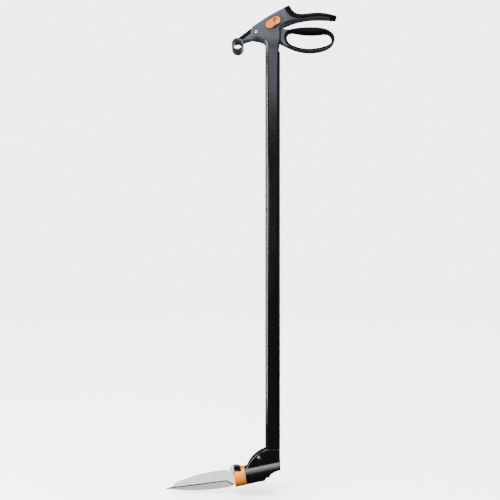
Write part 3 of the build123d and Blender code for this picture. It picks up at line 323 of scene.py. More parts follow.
# ---- materials ----------------------------------------------------------
class Shade:
    """A node material built up in a few short steps."""

    def __init__(self, name, colour, roughness, metallic=0.0, specular=0.5):
        self.material = bpy.data.materials.new(name)
        self.material.use_nodes = True
        self.tree = self.material.node_tree
        self.tree.nodes.clear()
        self.out = self.tree.nodes.new("ShaderNodeOutputMaterial")
        self.shader = self.tree.nodes.new("ShaderNodeBsdfPrincipled")
        self.tree.links.new(self.shader.outputs[0], self.out.inputs[0])
        self.set("Base Color", (*colour, 1.0))
        self.set("Roughness", roughness)
        self.set("Metallic", metallic)
        self.set("Specular IOR Level", specular)
        self.colour = colour
        self.roughness = roughness
        self.place = self.node("ShaderNodeTexCoord").outputs["Object"]
        self.height = None

    def node(self, kind, **values):
        made = self.tree.nodes.new(kind)
        for key, value in values.items():
            setattr(made, key, value)
        return made

    def set(self, socket, value):
        self.shader.inputs[socket].default_value = value

    def link(self, a, b):
        self.tree.links.new(a, b)

    def noise(self, scale, detail=3.0, rough=0.5, stretch=(1, 1, 1)):
        """Noise over the object; scale is in cells per metre."""
        mapping = self.node("ShaderNodeMapping")
        mapping.inputs["Scale"].default_value = stretch
        self.link(self.place, mapping.inputs[0])
        made = self.node("ShaderNodeTexNoise")
        made.inputs["Scale"].default_value = scale
        made.inputs["Detail"].default_value = detail
        made.inputs["Roughness"].default_value = rough
        self.link(mapping.outputs[0], made.inputs["Vector"])
        return made.outputs["Fac"]

    def along(self, axis):
        """Position on the piece along X, Y or Z, in metres."""
        made = self.node("ShaderNodeSeparateXYZ")
        self.link(self.place, made.inputs[0])
        return made.outputs[axis]

    def above(self, a, b):
        """Height, in metres, over the line from a to b; both are X, Z points in millimetres."""
        run = math.dist(a, b)
        across = (-(b[1] - a[1]) / run, 0.0, (b[0] - a[0]) / run)
        dot = self.node("ShaderNodeVectorMath", operation="DOT_PRODUCT")
        self.link(self.place, dot.inputs[0])
        dot.inputs[1].default_value = across
        less = self.node("ShaderNodeMath", operation="SUBTRACT")
        self.link(dot.outputs["Value"], less.inputs[0])
        less.inputs[1].default_value = (across[0] * a[0] + across[2] * a[1]) * MM
        return less.outputs[0]

    def remap(self, value, lo, hi, to_lo, to_hi):
        made = self.node("ShaderNodeMapRange")
        for key, number in (("From Min", lo), ("From Max", hi), ("To Min", to_lo), ("To Max", to_hi)):
            made.inputs[key].default_value = number
        self.link(value, made.inputs["Value"])
        return made.outputs[0]

    def vary_roughness(self, value, spread, lo=0.35, hi=0.65):
        self.link(self.remap(value, lo, hi, self.roughness - spread, self.roughness + spread),
                  self.shader.inputs["Roughness"])

    def vary_colour(self, value, other, lo=0.3, hi=0.7):
        mix = self.node("ShaderNodeMix", data_type="RGBA")
        mix.inputs["A"].default_value = (*self.colour, 1.0)
        mix.inputs["B"].default_value = (*other, 1.0)
        self.link(self.remap(value, lo, hi, 0.0, 1.0), mix.inputs["Factor"])
        previous = self.shader.inputs["Base Color"].links
        if previous:
            self.link(previous[0].from_socket, mix.inputs["A"])
        self.link(mix.outputs["Result"], self.shader.inputs["Base Color"])

    def edge_wear(self, other, amount=0.5):
        """Edges rubbed paler."""
        geometry = self.node("ShaderNodeNewGeometry")
        mix = self.node("ShaderNodeMath", operation="MULTIPLY")
        worn = self.remap(geometry.outputs["Pointiness"], 0.52, 0.60, 0.0, amount)
        self.link(worn, mix.inputs[0])
        self.link(self.remap(self.noise(140.0, 4.0), 0.42, 0.62, 0.0, 1.0), mix.inputs[1])
        colour = self.node("ShaderNodeMix", data_type="RGBA")
        colour.inputs["A"].default_value = (*self.colour, 1.0)
        colour.inputs["B"].default_value = (*other, 1.0)
        previous = self.shader.inputs["Base Color"].links
        if previous:
            self.link(previous[0].from_socket, colour.inputs["A"])
        self.link(mix.outputs[0], colour.inputs["Factor"])
        self.link(colour.outputs["Result"], self.shader.inputs["Base Color"])

    def bump(self, value, depth, strength):
        made = self.node("ShaderNodeBump")
        made.inputs["Distance"].default_value = depth
        made.inputs["Strength"].default_value = strength
        self.link(value, made.inputs["Height"])
        if self.height is not None:
            self.link(self.height, made.inputs["Normal"])
        self.height = made.outputs[0]
        self.link(self.height, self.shader.inputs["Normal"])


def moulded(name, colour, roughness, worn, second=None, third=None):
    """Glass-filled nylon with a fine spark-eroded grain. Further colours take over along one axis:
    each is given as the colour, the axis and the two positions, in metres, between which it comes in."""
    s = Shade(name, colour, roughness, specular=0.5)
    s.vary_roughness(s.noise(60.0, 4.0), 0.05)
    s.vary_colour(s.noise(35.0, 3.0), tuple(c * 1.25 for c in colour))
    for change in (second, third):
        if change:
            other, axis, start, end = change
            s.vary_colour(s.along(axis), other, start, end)
    s.edge_wear(worn, 0.35)
    s.bump(s.noise(900.0, 2.0, 0.6), 0.00006, 0.6)
    s.bump(s.noise(40.0, 2.0), 0.0004, 0.15)
    return s.material


def rubbery(name, colour, roughness):
    """Soft thermoplastic rubber, matt, with a leathery grain."""
    s = Shade(name, colour, roughness, specular=0.10)
    s.vary_roughness(s.noise(80.0, 3.0), 0.06)
    s.vary_colour(s.noise(50.0, 3.0), tuple(c * 1.6 for c in colour))
    s.bump(s.noise(1400.0, 3.0, 0.7), 0.00008, 0.7)
    return s.material


def coated(name, colour, roughness):
    """Powder-coated steel with a faint orange peel and a few rubbed streaks along its length."""
    s = Shade(name, colour, roughness, specular=0.5)
    s.vary_roughness(s.noise(45.0, 4.0, stretch=(1, 1, 0.15)), 0.05)
    s.vary_colour(s.noise(20.0, 3.0, stretch=(1, 1, 0.1)), tuple(c * 1.35 for c in colour))
    s.bump(s.noise(600.0, 2.0, 0.5), 0.00003, 0.25)
    return s.material


def glossy(name, colour, roughness, deep):
    """Smooth orange plastic with faint flow marks."""
    s = Shade(name, colour, roughness, specular=0.5)
    s.set("Subsurface Weight", 0.08)
    s.set("Subsurface Radius", (0.004, 0.0015, 0.0006))
    s.vary_roughness(s.noise(90.0, 3.0), 0.05)
    s.vary_colour(s.noise(30.0, 3.0), deep)
    s.bump(s.noise(900.0, 2.0, 0.6), 0.00004, 0.5)
    return s.material


# painted shade: colour of the dark band along the upper blade's cutting edge and heel, standing in for the shadow
# and dark reflection there
EDGE_SHADE_COLOUR = (0.012, 0.012, 0.013)
# heights over the lines, in metres, at which the band of painted shade begins and is full
EDGE_SHADE_BAND = (0.0031, 0.0022)


def ground(name, colour, roughness, stretch, bevel=None):
    """Ground steel: fine scratches all one way, and a cloudy sheen. The bevel argument gives two lines, each a
    pair of points in millimetres, along which a narrow band of painted shade is laid for the shadow and dark
    reflection at the cutting edge; the second takes over from the first at its own start."""
    s = Shade(name, colour, roughness, metallic=1.0)
    lines = s.noise(2600.0, 4.0, 0.65, stretch=stretch)
    s.vary_roughness(lines, 0.09)
    s.vary_colour(s.noise(28.0, 4.0), tuple(c * 0.86 for c in colour))
    if bevel:
        # painted shade along the two lines, darkest close to them
        first, second = (s.above(*line) for line in bevel)
        past = s.node("ShaderNodeMath", operation="GREATER_THAN")
        s.link(s.along("X"), past.inputs[0])
        past.inputs[1].default_value = bevel[1][0][0] * MM
        pick = s.node("ShaderNodeMix", data_type="FLOAT")
        s.link(past.outputs[0], pick.inputs["Factor"])
        s.link(first, pick.inputs["A"])
        s.link(second, pick.inputs["B"])
        s.vary_colour(pick.outputs["Result"], EDGE_SHADE_COLOUR, *EDGE_SHADE_BAND)
    s.bump(lines, 0.00005, 0.7)
    return s.material


def plated(name, colour, roughness):
    """Zinc-plated steel, slightly mottled."""
    s = Shade(name, colour, roughness, metallic=1.0)
    s.vary_roughness(s.noise(220.0, 4.0), 0.1)
    s.vary_colour(s.noise(160.0, 4.0), tuple(c * 0.75 for c in colour))
    s.bump(s.noise(1200.0, 3.0), 0.00003, 0.4)
    return s.material


# painted shade: the second colour darkens the head towards the neck and the third towards the handle's end, where
# less light falls
head_plastic = moulded("head_plastic", (0.042, 0.046, 0.056), 0.42, (0.13, 0.135, 0.15),
                       second=((0.016, 0.018, 0.024), "Z", 0.030, -0.014),
                       third=((0.030, 0.032, 0.038), "X", 0.150, 0.205))
lever_plastic = moulded("lever_plastic", (0.070, 0.073, 0.083), 0.40, (0.16, 0.165, 0.18),
                        second=((0.005, 0.0052, 0.006), "X", 0.104, 0.112))
foot_plastic = moulded("foot_plastic", (0.002, 0.0022, 0.003), 0.26, (0.03, 0.03, 0.033))
soft_black = rubbery("soft_grip", (0.0015, 0.0015, 0.0018), 0.55)
pole_coat = coated("pole", (0.002, 0.0022, 0.003), 0.22)
orange = glossy("orange_plastic", (0.84, 0.235, 0.018), 0.36, (0.72, 0.175, 0.012))
inner_plastic = moulded("inner_plastic", (0.45, 0.45, 0.42), 0.5, (0.6, 0.6, 0.58))
CUTTING_EDGE = ((-157.2, -965.6), (-28.0, -949.2))
HEEL_START, HEEL_END = (-24.0, -948.9), (-9.4, -956.8)
# the dark band along the cutting edge and heel is painted shade
blade_steel = ground("blade_steel", (0.62, 0.62, 0.63), 0.30, (0.05, 1.0, 1.0),
                     bevel=(CUTTING_EDGE, (HEEL_START, HEEL_END)))
# painted shade: the fixed blade is a darker copy of the same steel, as it sits behind the moving blade and takes
# less light
shaded_blade_steel = ground("blade_steel_painted_shade", (0.34, 0.34, 0.35), 0.34, (0.05, 1.0, 1.0))
zinc = plated("zinc_steel", (0.60, 0.61, 0.64), 0.32)
spring_steel = plated("spring_steel", (0.42, 0.42, 0.44), 0.35)


# ---- head: shells, grip, eye arm ----------------------------------------
HEAD_HALF = 15.0
HANDLE_HALF = 11.5
FOOT_Z = -16.0
POLE_X = 76.2
POLE_HALF_WIDE = 16.25
POLE_HALF_DEEP = 11.0
POLE_CORNER = 8.0
POLE_FRONT = POLE_X - POLE_HALF_WIDE
POLE_BACK = POLE_X + POLE_HALF_WIDE
NECK_SWELL = 4.0
NOSE_R = 12.4
SEAM = 0.08
EYE_R = 13.2
EYE_BORE_R = 9.6
EYE_HALF = 18.0
EYE_FLARE = 0.9
ARM_HALF = 8.5
ARM_GAP = 1.1
WALL = 3.4
ROOM_HALF = 11.5
RIVET_SEAT_R = 4.6
RIVET_SEAT = 1.2
# how far the soft grip sinks into the shells, and how far it stands proud of them
GRIP_DEPTH = 3.0
GRIP_PROUD = 0.35

head_flat = region(joined(
    arc((TRIGGER_X, TRIGGER_Z), NOSE_R, -88.0, -222.0, 14),
    spline([(31.2, 39.4), (48.3, 51.0), (65.6, 62.2), (82.9, 71.9), (98.0, 79.6), (109.2, 84.7)]),
    [(111.8, 84.9)],
    spline([(113.8, 83.2), (116.2, 79.0), (120.2, 74.6), (125.6, 71.2), (133.4, 69.4), (144.6, 69.4),
            (160.0, 71.0), (174.0, 71.8), (190.0, 70.6), (206.0, 67.3)]),
    spline([(206.0, 67.3), (212.4, 65.3), (215.0, 61.8), (213.4, 58.5), (207.0, 58.2)]),
    spline([(207.0, 58.2), (188.0, 58.9), (172.0, 59.0), (156.0, 58.2), (140.0, 55.8), (122.0, 51.6),
            (108.0, 47.6), (99.6, 43.8), (94.2, 38.6), (91.8, 32.4), (POLE_BACK, 26.0)]),
    [(POLE_BACK, FOOT_Z - 8.0), (POLE_FRONT, FOOT_Z - 8.0)],
    spline([(POLE_FRONT, -3.0), (57.6, 4.0), (53.6, 9.6), (48.0, 13.2), (41.0, 14.3)]),
))
ARM_SLOPE = math.radians(36.6)
arm_flat = region(joined(
    [(-7.6, 9.3)], [(32.5, 39.6), (50.0, 40.0), (50.0, 17.0)],
    spline([(42.0, 15.4), (34.0, 14.4), (25.0, 12.2), (16.5, 9.4), (10.0, 6.6)]),
    [(0.0, 0.0)],
))


def head_shape(x, y, z):
    """Outside of the head: slim and rounder along the handle, and the pole's own section at the foot."""
    slim = smooth_step(x, 100.0, 130.0)
    round_off = 4.2 + 2.4 * smooth_step(x, 104.0, 136.0)
    body = slab(head_flat(x, z), y, HEAD_HALF - (HEAD_HALF - HANDLE_HALF) * slim, round_off)
    # the neck slims to the pole's own section
    half = POLE_HALF_DEEP + NECK_SWELL * smooth_step(z, -12.0, 16.0)
    f = soft_max(body, np.abs(y) - half - 6.0 * smooth_step(x, 96.0, 104.0), 5.0)
    # below the arm the front and back corners round off like the pole's
    foot = slab(np.abs(x - POLE_X) - POLE_HALF_WIDE, y, half, POLE_CORNER)
    low = smooth_step(z, 14.0, 2.0)
    f = f * (1 - low) + np.maximum(f, foot) * low
    return np.maximum(f, FOOT_Z + 0.05 - z)


def arm_shape(x, y, z):
    return slab(arm_flat(x, z), y, ARM_HALF, 2.0)


def eye_shape(x, y, z):
    """The eye's barrel, and its bore with flared ends."""
    barrel = slab(np.hypot(x, z) - EYE_R, y, EYE_HALF, 1.6)
    flare = EYE_FLARE * smooth_step(np.abs(y), EYE_HALF - 3.5, EYE_HALF + 0.5)
    return barrel, np.hypot(x, z) - EYE_BORE_R - flare


# soft strip: wraps the saddle and the upper half of the handle
grip_low = spline([(205.0, 46.0), (204.6, 54.0), (203.4, 58.0), (199.6, 60.6), (192.0, 61.8), (180.0, 62.4),
                   (166.0, 61.8), (152.0, 60.2), (140.0, 58.4), (129.0, 58.2), (119.0, 60.2), (110.8, 64.8),
                   (105.0, 71.6), (102.0, 78.6), (100.4, 92.0)])
grip_zone = region(joined(grip_low, [(230.0, 92.0), (230.0, 50.0)]))

LOCK_AT = (76.4, 45.8)
LOCK_LENGTH, LOCK_WIDE = 34.0, 16.8
LOCK_HALF_RUN = (LOCK_LENGTH - LOCK_WIDE) / 2
TRACK = 7.2
TRACK_DEPTH = 0.8
TRACK_MARGIN = 0.6
BOLT_HALF_RUN = 5.3
BOLT_ROOM = 3.3
PEG_ROOM = 3.2


def lock_bar(x, z, start, end, radius):
    """A bar along the lock's travel, from start to end measured from the button's centre."""
    a = (LOCK_AT[0] + start * LOCK_DIR[0], LOCK_AT[1] + start * LOCK_DIR[2])
    b = (LOCK_AT[0] + end * LOCK_DIR[0], LOCK_AT[1] + end * LOCK_DIR[2])
    return capsule(a, b, radius)(x, z)


def shells(x, y, z):
    """Both head shells in one, before they are parted at the seam."""
    f = head_shape(x, y, z)
    f = cut(f, np.maximum(grip_zone(x, z) - 0.25, -f - GRIP_DEPTH), 0.5)
    f = cut(f, arm_shape(x, y, z) - ARM_GAP, 0.2)
    from_rivet = np.hypot(x - TRIGGER_X, z - TRIGGER_Z)
    f = cut(f, slab(from_rivet - RIVET_SEAT_R, np.abs(y) - HEAD_HALF, RIVET_SEAT, 0.3), 0.6)
    bar = lock_bar(x, z, -LOCK_HALF_RUN, LOCK_HALF_RUN + TRACK, LOCK_WIDE / 2 + TRACK_MARGIN)
    f = cut(f, slab(bar, y + HEAD_HALF, TRACK_DEPTH, 0.3), 0.5)
    # way out at the back for the lever's root, and for its flat arm above that
    root = np.maximum(np.abs(y) - 8.6, np.maximum(z - 38.6, -13.4 - z))
    flat_arm = np.maximum(np.maximum(np.abs(y) - 4.7, x - 104.0), np.maximum(z - 47.0, 20.0 - z))
    f = cut(f, np.maximum(np.minimum(root, flat_arm), 84.0 - x), 0.8)
    inside = np.maximum(np.abs(y) - ROOM_HALF, f + WALL)
    f = cut(f, np.maximum(inside, 62.0 - x), 0.5)
    # way for the lock's peg over its whole travel
    peg_way = np.maximum(lock_bar(x, z, 0.0, TRACK, PEG_ROOM), np.abs(y + 4.6) - 8.0)
    return cut(f, peg_way, 0.2)


def left_shell(x, y, z):
    f = soft_max(shells(x, y, z), y + SEAM, 0.5)
    # slot that the lock's bolt slides in
    slot = lock_bar(x, z, TRACK / 2 - BOLT_HALF_RUN, TRACK / 2 + BOLT_HALF_RUN, BOLT_ROOM)
    return cut(f, np.maximum(slot, y + 10.0), 0.3)


def right_shell(x, y, z):
    f = soft_max(shells(x, y, z), SEAM - y, 0.5)
    for sx, sz, well in SCREWS:
        f = cut(f, slab(np.hypot(x - sx, z - sz) - SCREW_WELL_R, y - well, 3.2, 0.2), 0.4)
    return f


SCREW_WELL_R = 3.6
# X, Z and the depth at which each well is centred
SCREWS = ((54.0, 44.0, 14.0), (66.0, 8.0, 14.0), (98.0, 72.0, 14.0), (196.0, 64.6, 11.4))
HEAD_STEP = 0.8

left = from_field("handle_shell_left", left_shell, (24, -17, -18), (218, 2, 88), HEAD_STEP)
finish_piece(left, "body", "head_plastic", head_plastic, "handle_shell_left")
right = from_field("handle_shell_right", right_shell, (24, -2, -18), (218, 17, 88), HEAD_STEP)
finish_piece(right, "body", "head_plastic", head_plastic, "handle_shell_right")


def soft_handle(x, y, z):
    return soft_max(head_shape(x, y, z) - GRIP_PROUD, grip_zone(x, z) + 0.1, 0.9)


grip = from_field("handle_grip", soft_handle, (96, -17, 48), (218, 17, 90), HEAD_STEP)
finish_piece(grip, "body", "soft_grip", soft_black, "handle_grip")


def eye_arm(x, y, z):
    barrel, hole = eye_shape(x, y, z)
    f = soft_min(arm_shape(x, y, z), barrel, 3.0)
    # seat of the soft strip
    f = cut(f, strip_zone(x, y, z) - 0.2, 0.4)
    return cut(f, hole, 0.8)


def arm_frame(x, z):
    """Distance along the arm from the eye, and depth under its top line."""
    along = x * math.cos(ARM_SLOPE) + z * math.sin(ARM_SLOPE)
    up = -x * math.sin(ARM_SLOPE) + z * math.cos(ARM_SLOPE)
    return along, up


STRIP_UNDER = 4.2


def strip_zone(x, y, z):
    along, up = arm_frame(x, z)
    flat = np.maximum(np.maximum(STRIP_UNDER - up, up - 14.0), np.maximum(10.5 - along, along - 45.4))
    return np.maximum(flat, np.abs(y) - 20.0)


def strip(x, y, z):
    along, up = arm_frame(x, z)
    flat = slab(np.maximum(STRIP_UNDER - up, up - 14.2), along - 27.9, 17.2, 2.2)
    return soft_max(soft_max(flat, arm_shape(x, y, z) - 0.5, 1.0), EYE_R + 0.6 - np.hypot(x, z), 0.8)


arm = from_field("hanging_eye_arm", eye_arm, (-14, -20, -14), (52, 20, 44), HEAD_STEP)
finish_piece(arm, "body", "head_plastic", head_plastic, "hanging_eye_arm")
arm_pad = from_field("arm_strip", strip, (-2, -12, 4), (40, 12, 46), HEAD_STEP)
finish_piece(arm_pad, "body", "soft_grip", soft_black, "arm_strip")


# ---- lock button --------------------------------------------------------
def lock_frame(x, z):
    """Distance along the lock's travel from the button's centre, and across it."""
    dx, dz = x - LOCK_AT[0], z - LOCK_AT[1]
    return dx * LOCK_DIR[0] + dz * LOCK_DIR[2], -dx * LOCK_DIR[2] + dz * LOCK_DIR[0]


def button(x, y, z):
    run, side = lock_frame(x, z)
    f = slab(lock_bar(x, z, -LOCK_HALF_RUN, LOCK_HALF_RUN, LOCK_WIDE / 2), y + HEAD_HALF + 2.35, 2.25, 1.5)
    # the left half falls away from the ridge, the right half holds a thumb hollow
    f = soft_max(f, -(y + HEAD_HALF + 4.6) + 0.20 * np.maximum(-0.6 - run, 0.0), 0.2)
    hollow = np.sqrt((run - 8.4) ** 2 * 0.9 + side ** 2 + (y + 28.0) ** 2) - 11.2
    return cut(f, hollow, 0.3)


lock = from_field("lock_button", button, (56, -21, 34), (97, -14, 61), 0.4)
finish_piece(lock, "lock", "orange_plastic", orange, "lock_button")


# ---- trigger: loop, root and arm ----------------------------------------
loop_run = spline([(92.2, 37.8), (103.0, 36.4), (112.0, 35.6), (124.0, 38.0), (142.0, 40.0), (162.0, 40.4),
                   (181.0, 39.0), (197.0, 34.4), (208.0, 25.5), (211.2, 13.5), (206.0, 1.2), (192.0, -7.4),
                   (175.0, -11.8), (157.0, -13.2), (140.0, -11.8), (124.0, -7.6), (108.0, -0.6), (92.2, 7.2)])
loop_flat = region(joined(loop_run, [(92.2, 37.8)]))
opening_flat = region(spline([
    (107.0, 17.0), (108.4, 24.4), (112.6, 29.2), (120.0, 30.6), (130.0, 29.2), (142.0, 27.4), (158.0, 26.4),
    (174.0, 26.8), (188.0, 28.4), (196.4, 27.6), (203.0, 22.6), (205.2, 13.0), (200.0, 4.4), (188.0, -1.2),
    (172.0, -5.0), (154.0, -6.7), (136.0, -4.6), (119.0, 1.0), (110.0, 7.4)], closed=True))
lever_flat = region([(40.5, 35.2), (62.0, 37.4), (86.5, 37.0), (86.5, 55.0), (80.0, 55.0), (80.0, 58.0),
                     (90.5, 58.0), (90.5, 37.6), (95.0, 37.6), (95.0, 18.0), (75.0, 23.5), (60.0, 20.0),
                     (40.5, 18.2)])
LINING = 3.0
LEVER_HALF = 4.0
ROOT_HALF = 8.0
RIM_STEP = 0.8
PAD_HALF = 10.0
PAD_ROUND = 4.6
LEVER_BOSS_R = 9.6
RIVET_HOLE_R = 2.66
ROD_HOLE_R = 2.9
RIB_HEIGHT, RIB_PITCH = 0.28, 1.7
PAD_FROM, PAD_TO = 111.0, 200.0
ROD_PIN = (POLE_X, 31.083)


def pad_zone(x, z):
    """Where the thick pad stands over the loop's upper bar; its left end leans along the root's corner."""
    return np.maximum(np.maximum(PAD_FROM - x + 0.55 * (z - 36.0), x - PAD_TO), 22.0 - z)


def lining_depth(x):
    """The lining is thicker where the loop meets its root."""
    return LINING + 2.0 * smooth_step(x, 114.0, 104.0)


def rim_half(x):
    """Half thickness of the loop, whose rim stands a little narrower than its root."""
    return ROOT_HALF - RIM_STEP * smooth_step(x, 108.0, 122.0)


def lever(x, y, z):
    opening = opening_flat(x, z)
    ring = np.maximum(loop_flat(x, z), lining_depth(x) - opening)
    f = slab(ring, y, rim_half(x), 2.4)
    f = cut(f, pad_zone(x, z) - 0.1, 0.6)
    # ribs along the bar on the far side of the loop
    rib = RIB_HEIGHT * smooth_step(x, 188.0, 196.0) * np.cos((opening - LINING) * 2 * math.pi / RIB_PITCH)
    f = f + np.where(np.abs(f) < 1.5, rib * smooth_step(np.abs(y), 3.0, 6.0), 0.0)
    from_rivet = np.hypot(x - TRIGGER_X, z - TRIGGER_Z)
    inner = np.minimum(lever_flat(x, z), from_rivet - LEVER_BOSS_R)
    f = soft_min(f, slab(inner, y, LEVER_HALF, 0.8), 1.0)
    f = cut(f, from_rivet - RIVET_HOLE_R, 0.3)
    return cut(f, np.hypot(x - ROD_PIN[0], z - ROD_PIN[1]) - ROD_HOLE_R, 0.3)


def trigger_soft(x, y, z):
    opening = opening_flat(x, z)
    lining = slab(np.maximum(-opening, opening - lining_depth(x) + 0.05), y, rim_half(x) + 0.3, 1.3)
    bar = np.maximum(np.maximum(loop_flat(x, z) - 0.1, -opening), pad_zone(x, z))
    pad = slab(bar, y, PAD_HALF, PAD_ROUND)
    return soft_min(lining, pad, 1.2)


LOOP_STEP = 0.55
lever_piece = from_field("trigger_lever", lever, (28, -10, -16), (214, 10, 61), LOOP_STEP)
finish_piece(lever_piece, "trigger", "lever_plastic", lever_plastic, "trigger_lever")
soft_piece = from_field("trigger_grip", trigger_soft, (98, -12, -12), (212, 12, 44), LOOP_STEP)
finish_piece(soft_piece, "trigger", "soft_grip", soft_black, "trigger_grip")


# ---- lower housing ------------------------------------------------------
POLE_FOOT_Z = -876.0
GUSSET_HALF = 10.8
HOUSING_R = 19.6
gusset_flat = region(joined(
    arc_through((POLE_FRONT, -878.0), (30.1, -898.7), (19.0, -918.4)),
    [on_axis(0.5, 0.0), on_axis(30.0, -10.0), (62.0, -936.0), (POLE_BACK, -917.3), (POLE_BACK, POLE_FOOT_Z),
     (POLE_FRONT, POLE_FOOT_Z)]))
heel_flat = region([(57.5, -990.0), (57.5, -946.9), (63.1, -934.4), (68.2, -934.6), (72.0, -926.8),
                    (79.7, -921.9), (POLE_BACK, -917.3), (POLE_BACK, -850.0), (120.0, -850.0),
                    (120.0, -990.0)])
room_flat = region([(60.0, -882.0), (54.0, -883.5), (48.0, -887.5), (41.0, -894.0), (38.0, -899.0),
                    (39.0, -905.0), (44.0, -912.0), (47.0, -931.0), (61.0, -931.0), (68.0, -914.0),
                    (84.0, -906.0), (84.0, -882.0)])
# radius of the bore up to each distance from the front face
BORE = ((19.6, 13.0), (24.6, 16.4), (41.0, 9.0), (48.6, 7.4))
LOWER_SCREWS = ((80.5, -913.5), (31.5, -909.0))
LOWER_WELL_R, LOWER_WELL_DEPTH = 3.7, 2.2
CRANK_ROOM_HALF = 7.8
CRANK_SEAT = 0.8
ROD_WAY_HALF_WIDE, ROD_WAY_HALF_DEEP, ROD_WAY_END_Z = 9.0, 7.0, -900.0


def housing(x, y, z):
    s, h = along_axis(x, z)
    tube = slab(np.hypot(h, y) - HOUSING_R, s - 50.0, 50.0, 0.9)
    gusset = slab(gusset_flat(x, z), y, GUSSET_HALF, 2.2)
    f = soft_min(tube, gusset, 0.8)
    f = soft_max(f, -heel_flat(x, z), 1.6)
    f = np.maximum(f, z - POLE_FOOT_Z)
    f = cut(f, slab(room_flat(x, z), y, CRANK_ROOM_HALF, 0.3), 0.3)
    rod_way = np.maximum(np.abs(x - POLE_X) - ROD_WAY_HALF_WIDE, np.abs(y) - ROD_WAY_HALF_DEEP)
    f = cut(f, np.maximum(rod_way, ROD_WAY_END_Z - z), 0.3)
    start = -1.0
    for end, radius in BORE:
        f = cut(f, np.maximum(np.hypot(h, y) - radius, np.maximum(start - s, s - end)), 0.3)
        start = end
    from_rivet = np.hypot(x - CRANK_X, z - CRANK_Z)
    return cut(f, slab(from_rivet - RIVET_SEAT_R, np.abs(y) - GUSSET_HALF, CRANK_SEAT, 0.3), 0.4)


def housing_right(x, y, z):
    f = soft_max(housing(x, y, z), SEAM - y, 0.4)
    for sx, sz in LOWER_SCREWS:
        well = np.maximum(np.hypot(x - sx, z - sz) - LOWER_WELL_R, GUSSET_HALF - LOWER_WELL_DEPTH - y)
        f = cut(f, well, 0.4)
    return f


FOOT_STEP = 0.7
foot_left = from_field("lower_shell_left", lambda x, y, z: soft_max(housing(x, y, z), y + SEAM, 0.4),
                       (10, -21, -960), (95, 1.5, -874), FOOT_STEP)
finish_piece(foot_left, "body", "foot_plastic", foot_plastic, "lower_shell_left")
foot_right = from_field("lower_shell_right", housing_right, (10, -1.5, -960), (95, 21, -874), FOOT_STEP)
finish_piece(foot_right, "body", "foot_plastic", foot_plastic, "lower_shell_right")


# ---- turning head: collar and carrier -----------------------------------
BLADE_S, BLADE_H = along_axis(BLADE_X, BLADE_Z)
COLLAR_R = 19.9
COLLAR_BORE_R = 16.2
WINDOW_H, WINDOW_END_S = 14.2, -8.2
CARRIER_R = 15.9
CARRIER_FRONT_S = -23.0
NECK_R = 12.9
NECK_END_S = 22.6
NEAR_CHEEK_R, FAR_CHEEK_R = 16.0, 12.5
CHEEK_HALF = 9.8
CHEEK_REAR_S = -8.9
GUIDE_R = 4.1
BOLT_HOLE_R = 4.05
BOLT_WELL_R = 6.9
COLLAR_FRONT = region([(-23.8, 24.0), (-27.4, -24.0), (10.0, -24.0), (10.0, 24.0)])


def collar_shape(x, y, z):
    s, h = along_axis(x, z)
    radial = np.hypot(h, y)
    f = soft_max(radial - COLLAR_R, s + 0.3, 1.5)
    f = soft_max(f, COLLAR_FRONT(s, h), 1.5)
    f = cut(f, radial - COLLAR_BORE_R, 0.8)
    f = cut(f, np.maximum(WINDOW_H - h, s - WINDOW_END_S), 0.6)
    # slot the blades pass through
    f = cut(f, np.maximum(np.maximum(np.abs(y) - 2.9, -h), np.abs(s + 17.5) - 14.5), 0.3)
    cheek = np.maximum(np.hypot(s - BLADE_S, h - BLADE_H) - NEAR_CHEEK_R, s - CHEEK_REAR_S)
    return cut(f, np.maximum(cheek, np.abs(y) - CHEEK_HALF - 0.2) - 0.1, 0.3)


def carrier_shape(x, y, z):
    s, h = along_axis(x, z)
    radial = np.hypot(h, y)
    f = soft_max(radial - CARRIER_R, np.maximum(s + 0.4, CARRIER_FRONT_S - s), 0.8)
    f = np.minimum(f, soft_max(radial - NECK_R, np.maximum(s - NECK_END_S, -2.0 - s), 0.6))
    reach = np.where(y < 0, NEAR_CHEEK_R, FAR_CHEEK_R)
    cheek = soft_max(np.hypot(s - BLADE_S, h - BLADE_H) - reach, s - CHEEK_REAR_S, 1.2)
    cheek = soft_max(cheek, np.abs(y) - CHEEK_HALF, 1.8)
    f = soft_min(f, cheek, 0.8)
    f = soft_max(f, CARRIER_FRONT_S - s, 1.0)
    # slot of the blades, guide of the plunger, way of its tongue, and the ring's groove
    slot = np.maximum(np.abs(y + 2.0) - 4.8, np.abs(s + 14.5) - 12.5)
    f = cut(f, slot, 0.3)
    f = cut(f, radial - GUIDE_R, 0.3)
    f = cut(f, np.maximum(np.abs(h) - 3.1, np.maximum(np.abs(y + 4.7) - 2.1, np.abs(s - 3.0) - 8.0)), 0.2)
    f = cut(f, np.maximum(11.0 - radial, np.abs(s - 21.2) - 0.8), 0.2)
    bolt = np.hypot(s - BLADE_S, h - BLADE_H)
    f = cut(f, bolt - BOLT_HOLE_R, 0.2)
    return cut(f, np.maximum(bolt - BOLT_WELL_R, np.minimum(y + 7.6, 6.6 - y)), 0.3)


TURN_STEP = 0.55
collar_piece = from_field("collar", collar_shape, (-16, -21, -962), (27, 21, -905), TURN_STEP)
finish_piece(collar_piece, "cutting_head", "orange_plastic", orange, "collar")
carrier_piece = from_field("head_carrier", carrier_shape, (-16, -17, -957), (46, 17, -898), TURN_STEP)
finish_piece(carrier_piece, "cutting_head", "foot_plastic", foot_plastic, "head_carrier")


